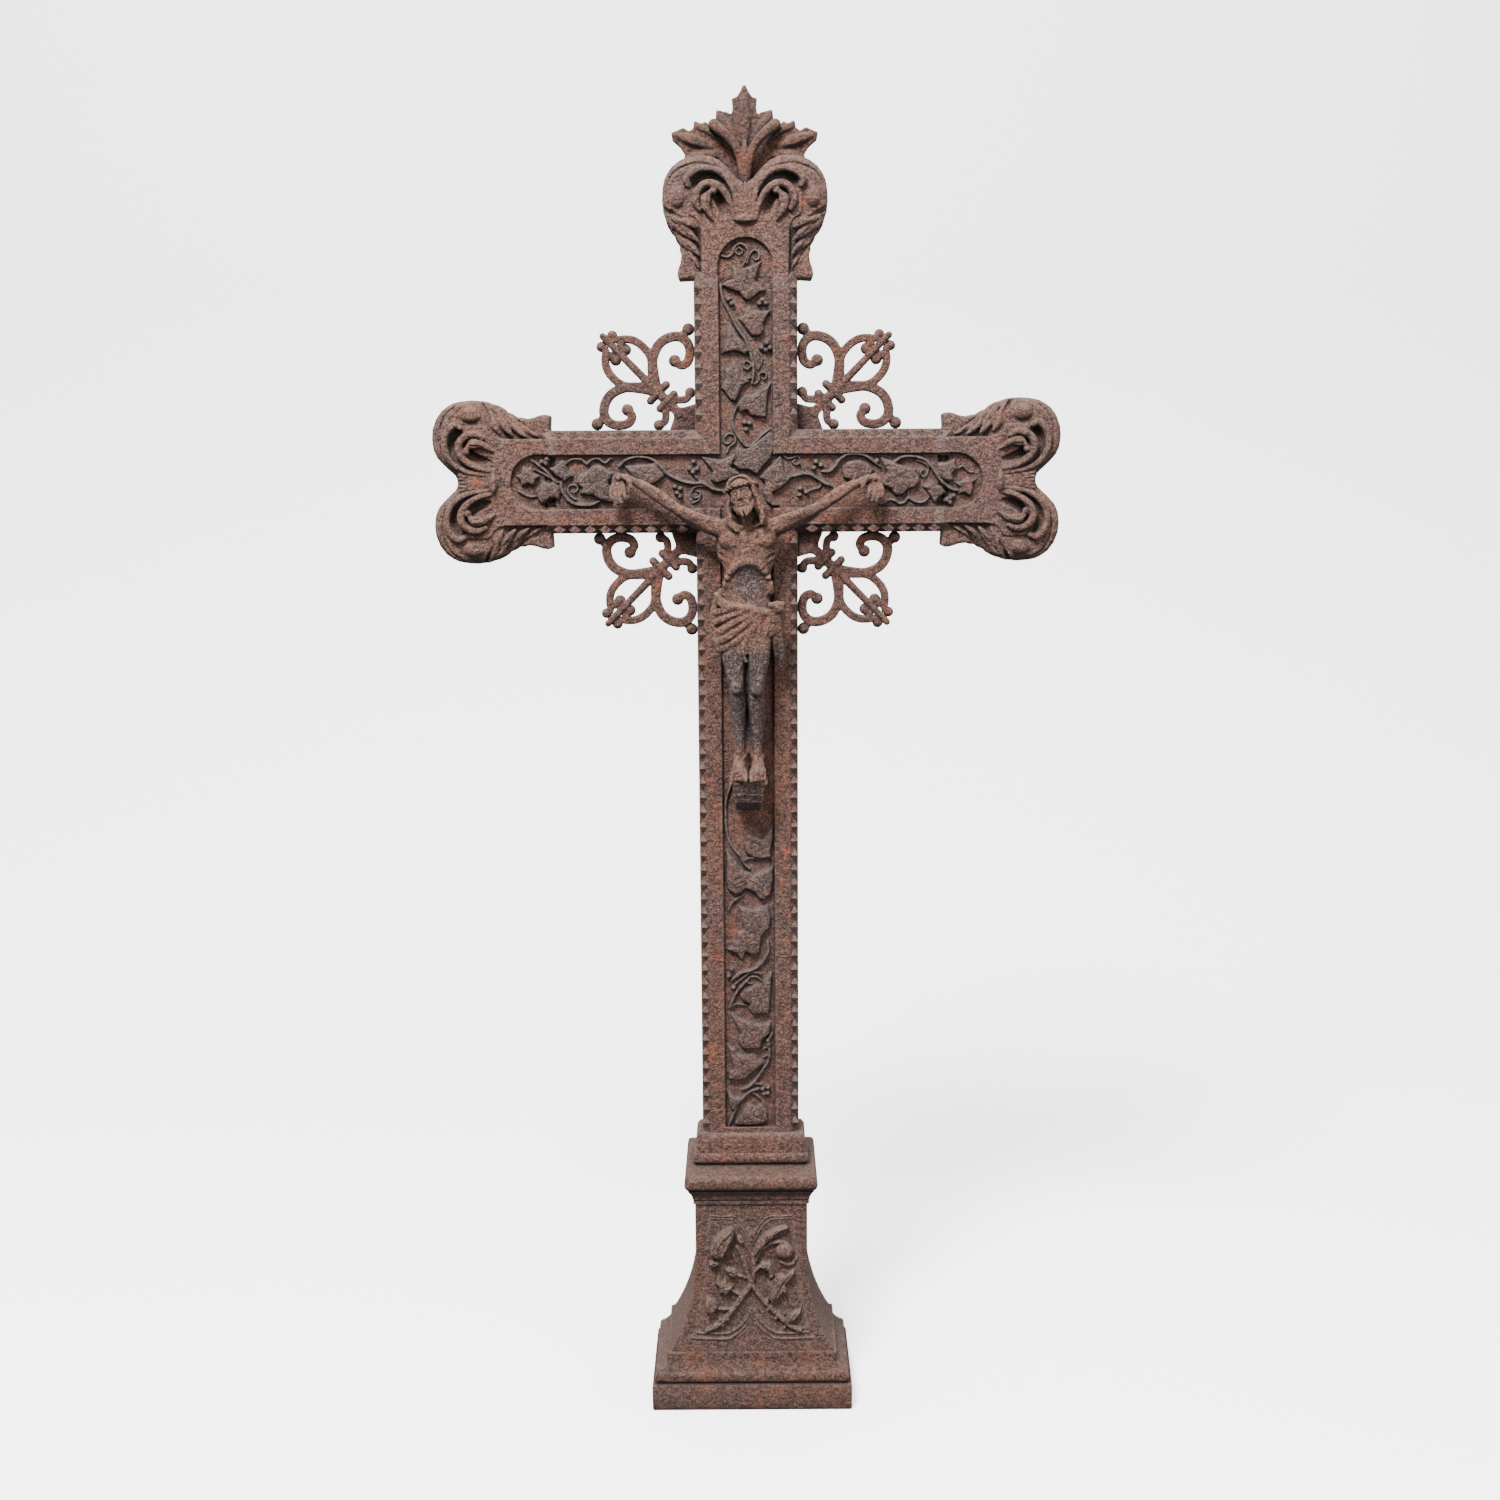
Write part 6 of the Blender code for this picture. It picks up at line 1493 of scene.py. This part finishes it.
def figure_matrix():
    return face_matrix() @ Matrix.Translation((0, FIGURE_SOLE - CROSSING_Z, FIGURE_BACK))


# Head of the figure. Places are (right, up, forward) from its middle, in mm. The face is a plain calm one.

HEAD_PLACE = (-4, 334, 30)
HEAD_LEAN = 17
HEAD_TURN = -12
HEAD_RAISE = -20
FACE_MASSES = (
    ((0, 6, -3), (15, 17, 17.5), 2), ((0, -5, 4), (12, 17, 12), 3), ((0, -15, 6), (9.2, 8, 8.8), 3),
    ((0, 10, 8), (12, 9, 8.2), 3), ((8, -3.5, 10), (4.8, 5.5, 4.6), 3), ((-8, -3.5, 10), (4.8, 5.5, 4.6), 3),
    ((0, -18.5, 12), (4.2, 3.8, 3.8), 2),
)
BROW = ((-9.5, 3.8, 12.2, 1.8), (-5, 5.8, 14.6, 1.8), (0, 5.0, 15.4, 1.5), (5, 5.8, 14.6, 1.8),
        (9.5, 3.8, 12.2, 1.8))
# Rounded parts of one side of the face: place, radii, softness and whether it is cut away
EYES = (((5.6, 0.8, 17.2), (4.2, 2.7, 3.6), 1.6, True), ((5.5, 0.5, 12.6), (3.2, 2.5, 2.7), 0.4, False))
NOSTRILS = (((2.3, -6.5, 17.0), (1.7, 1.5, 2.0), 0.8, False), ((1.3, -7.9, 18.2), (0.6, 0.7, 0.9), 0.3, True))
NOSE = ((0, 5, 14.8, 1.4), (0, -1, 17.2, 1.6), (0, -6, 19.2, 2.2))
UPPER_LIP = ((-4.2, -11.7, 14.4, 0.8), (-1.5, -10.8, 16.2, 1.1), (0, -11.1, 16.4, 1.0),
             (1.5, -10.8, 16.2, 1.1), (4.2, -11.7, 14.4, 0.8))
LOWER_LIP = ((-3.6, -12.9, 14.4, 0.8), (0, -13.6, 16.0, 1.3), (3.6, -12.9, 14.4, 0.8))
MOUTH_LINE = ((-4.6, -12.2, 15.4, 0.3), (0, -12.2, 17.3, 0.45), (4.6, -12.2, 15.4, 0.3))
UPPER_LID = ((9.0, 0.2, 12.4, 0.7), (5.6, 2.0, 15.2, 0.9), (2.4, 0.2, 14.2, 0.7))
LOWER_LID = ((8.6, -0.6, 12.6, 0.6), (5.6, -1.7, 14.6, 0.7), (2.6, -0.4, 14.2, 0.6))
MOUSTACHE = ((0.6, -9.2, 17.2, 0.9), (4.0, -10.2, 15.6, 1.3), (7.0, -13.2, 12.8, 0.9))
BEARD = (
    ((11.0, -6, 5, 2.0), (10.4, -13, 7, 2.4), (7.6, -19, 10, 2.4), (5.0, -23, 11, 1.6)),
    ((8.4, -15, 11, 1.8), (5.6, -20, 12.6, 2.0), (3.4, -25, 12.6, 1.4)),
    ((4.0, -17, 14.4, 1.4), (2.6, -21, 15, 1.7), (1.8, -26.5, 13.4, 1.0)),
)
THORN_RING = (18.0, 20.0)
THORN_LEVEL = 11.0
THORN_COUNT = 18


def on_ring(angle, out=0.0, rise=0.0):
    """Place on the ring of thorns, which lies lower at the brow than behind."""
    return ((THORN_RING[0] + out) * math.cos(angle), THORN_LEVEL + rise - 1.5 * math.sin(angle),
            -1.5 + (THORN_RING[1] + out) * math.sin(angle))


def make_figure_head():
    clay = Clay((-32, -42, -26), (32, 30, 26), HEAD_VOXEL)
    for place, radii, soft in FACE_MASSES:
        clay.ellipsoid(place, radii, soft)
    clay.stroke(BROW, 2)
    for side in (-1, 1):
        for (x, y, z), radii, soft, cut in EYES:
            clay.ellipsoid((side * x, y, z), radii, soft, cut)
        clay.stroke(to_side(UPPER_LID, side), 0.5)
        clay.stroke(to_side(LOWER_LID, side), 0.5)
    clay.stroke(NOSE, 1.4)
    for side in (-1, 1):
        for (x, y, z), radii, soft, cut in NOSTRILS:
            clay.ellipsoid((side * x, y, z), radii, soft, cut)
    clay.stroke(UPPER_LIP, 0.7)
    clay.stroke(LOWER_LIP, 0.7)
    clay.stroke(MOUTH_LINE, 0.3, True)
    for side in (-1, 1):
        clay.stroke(to_side(MOUSTACHE, side), 0.5)
        for lock in BEARD:
            clay.stroke(to_side(lock, side), 0.7)

    # Hair parted in the middle, in wavy locks to the shoulders, fuller at the viewer's left
    clay.ellipsoid((0, 8, -5), (16.6, 16.4, 18), 1)
    for side, fullness in ((-1, 1.0), (1, 0.6)):
        for lock in range(7):
            back = 3.4 * lock
            wave = 1.2 if lock % 2 else -1.2
            spread = fullness * (3.0 - 0.2 * lock)
            hair = (
                (1.0, 23.4 - 0.25 * lock, 6 - back, 1.8), (9.0, 20 - 0.2 * lock, 9.5 - back, 2.4),
                (15.0, 10, 8.5 - back, 2.4), (15.5 + wave * 0.4, 0, 7 - back, 2.4),
                (15.0 + spread - wave, -9, 6 - 0.9 * back, 2.5),
                (15.0 + 1.8 * spread + wave, -19, 4 - 0.7 * back, 2.4),
                (13.5 + 2.2 * spread - wave, -29, 3 - 0.5 * back, 2.2),
                (12.0 + 1.6 * spread, -37, 1 - 0.3 * back, 1.4),
            )
            clay.stroke(to_side(hair, side), 0.6)

    # Plaited crown of thorns
    for strand in range(3):
        ring = []
        for step in range(49):
            angle = math.tau * step / 48
            twist = 7 * angle + math.tau * strand / 3
            ring.append((*on_ring(angle, 1.5 * math.cos(twist), 1.5 * math.sin(twist)), 1.45))
        clay.stroke(ring, 0.3, steps=1)
    for thorn in range(THORN_COUNT):
        angle = math.tau * (thorn + 0.3) / THORN_COUNT
        rise = (3.2, -2.6, 1.2)[thorn % 3]
        start = on_ring(angle)
        tip = (start[0] * 1.26, start[1] + rise, -1.5 + (start[2] + 1.5) * 1.24)
        clay.stroke(((*start, 1.3), (*tip, 0.45)), 0.4)
    turn = (Matrix.Rotation(math.radians(HEAD_LEAN), 4, "Z")
            @ Matrix.Rotation(math.radians(HEAD_TURN), 4, "Y")
            @ Matrix.Rotation(math.radians(HEAD_RAISE), 4, "X"))
    matrix = figure_matrix() @ Matrix.Translation(HEAD_PLACE) @ turn
    make_clay_mesh("figure_head", clay, matrix, figure_iron, ["corpus"])


# Floor, light and camera


# Floor of the backdrop in metres: where it starts and ends, the radius of its bend and the wall's top
FLOOR_ENDS = (-6.0, 1.2)
BEND = 1.6
WALL = (2.8, 5.0)
BACKDROP_HALF = 5.0
# Lamps as name, place and size in metres, and power in watts
LAMPS = (("key", (-1.0, -2.2, 4.2), 1.3, 800), ("fill", (1.8, -2.4, 1.8), 1.6, 60))
LIT_PLACE = (0, 0, 0.8)


def make_stage():
    """Pale floor that curves up into a backdrop, and a pale room."""
    profile = [(y, 0.0) for y in FLOOR_ENDS]
    for step in range(1, 13):
        angle = math.radians(90 * step / 12)
        profile.append((FLOOR_ENDS[1] + BEND * math.sin(angle), BEND - BEND * math.cos(angle)))
    profile.append(WALL)
    vertices = [(x, y, z) for y, z in profile for x in (-BACKDROP_HALF, BACKDROP_HALF)]
    faces = [(2 * row, 2 * row + 1, 2 * row + 3, 2 * row + 2) for row in range(len(profile) - 1)]
    mesh = bpy.data.meshes.new("backdrop")
    mesh.from_pydata(vertices, [], faces)
    mesh.shade_smooth()
    backdrop = link_object("backdrop", mesh)
    material = bpy.data.materials.new("pale_backdrop")
    material.use_nodes = True
    shader = material.node_tree.nodes["Principled BSDF"]
    shader.inputs["Base Color"].default_value = (0.90, 0.90, 0.90, 1)
    shader.inputs["Roughness"].default_value = 0.95
    shader.inputs["Emission Color"].default_value = (1, 1, 1, 1)
    shader.inputs["Emission Strength"].default_value = 0.9
    mesh.materials.append(material)
    backdrop.visible_diffuse = False
    backdrop.visible_glossy = False

    world = bpy.data.worlds.new("pale_room")
    bpy.context.scene.world = world
    world.use_nodes = True
    background = world.node_tree.nodes["Background"]
    background.inputs["Color"].default_value = (1.0, 1.0, 1.0, 1)
    tree = world.node_tree
    above = add_node(tree, "ShaderNodeTexCoord").outputs["Generated"]
    height = add_node(tree, "ShaderNodeSeparateXYZ", [("Vector", above)]).outputs["Z"]
    strength = add_node(tree, "ShaderNodeMapRange", [("Value", height)],
                        From_Min=-0.4, From_Max=1.0, To_Min=0.45, To_Max=2.7)
    tree.links.new(strength.outputs["Result"], background.inputs["Strength"])


def add_area_light(name, place, size, power):
    light = bpy.data.lights.new(name, "AREA")
    light.shape = "DISK"
    light.size = size
    light.energy = power
    lamp = link_object(name, light)
    lamp.visible_camera = False
    lamp.location = place
    lamp.rotation_euler = (Vector(LIT_PLACE) - Vector(place)).to_track_quat("-Z", "Y").to_euler()


# The camera's place in metres, its turn down and its roll in degrees, and its lens as a share of the width
CAMERA_PLACE = (0.002, -2.136, 1.1985)
CAMERA_DOWN = 9.86
CAMERA_ROLL = -0.35
SENSOR_WIDTH = 36
LENS_SHARE = 1783 / 1500


def make_camera():
    """Camera of the photograph: a little above the crossing's height and turned slightly down."""
    data = bpy.data.cameras.new("camera")
    data.sensor_width = SENSOR_WIDTH
    data.lens = SENSOR_WIDTH * LENS_SHARE
    camera = link_object("camera", data)
    camera.location = CAMERA_PLACE
    pitch = Matrix.Rotation(math.radians(90 - CAMERA_DOWN), 4, "X")
    roll = Matrix.Rotation(math.radians(CAMERA_ROLL), 4, "Z")
    camera.rotation_euler = (pitch @ roll).to_euler()
    bpy.context.scene.camera = camera


make_beams()
make_studs()
make_foot_moulding()
make_pedestal()
make_ivy()
make_flowers()
make_crown()
make_brackets()
make_scroll_ends()
make_figure_body()
make_figure_head()
make_stage()
for lamp in LAMPS:
    add_area_light(*lamp)
make_camera()
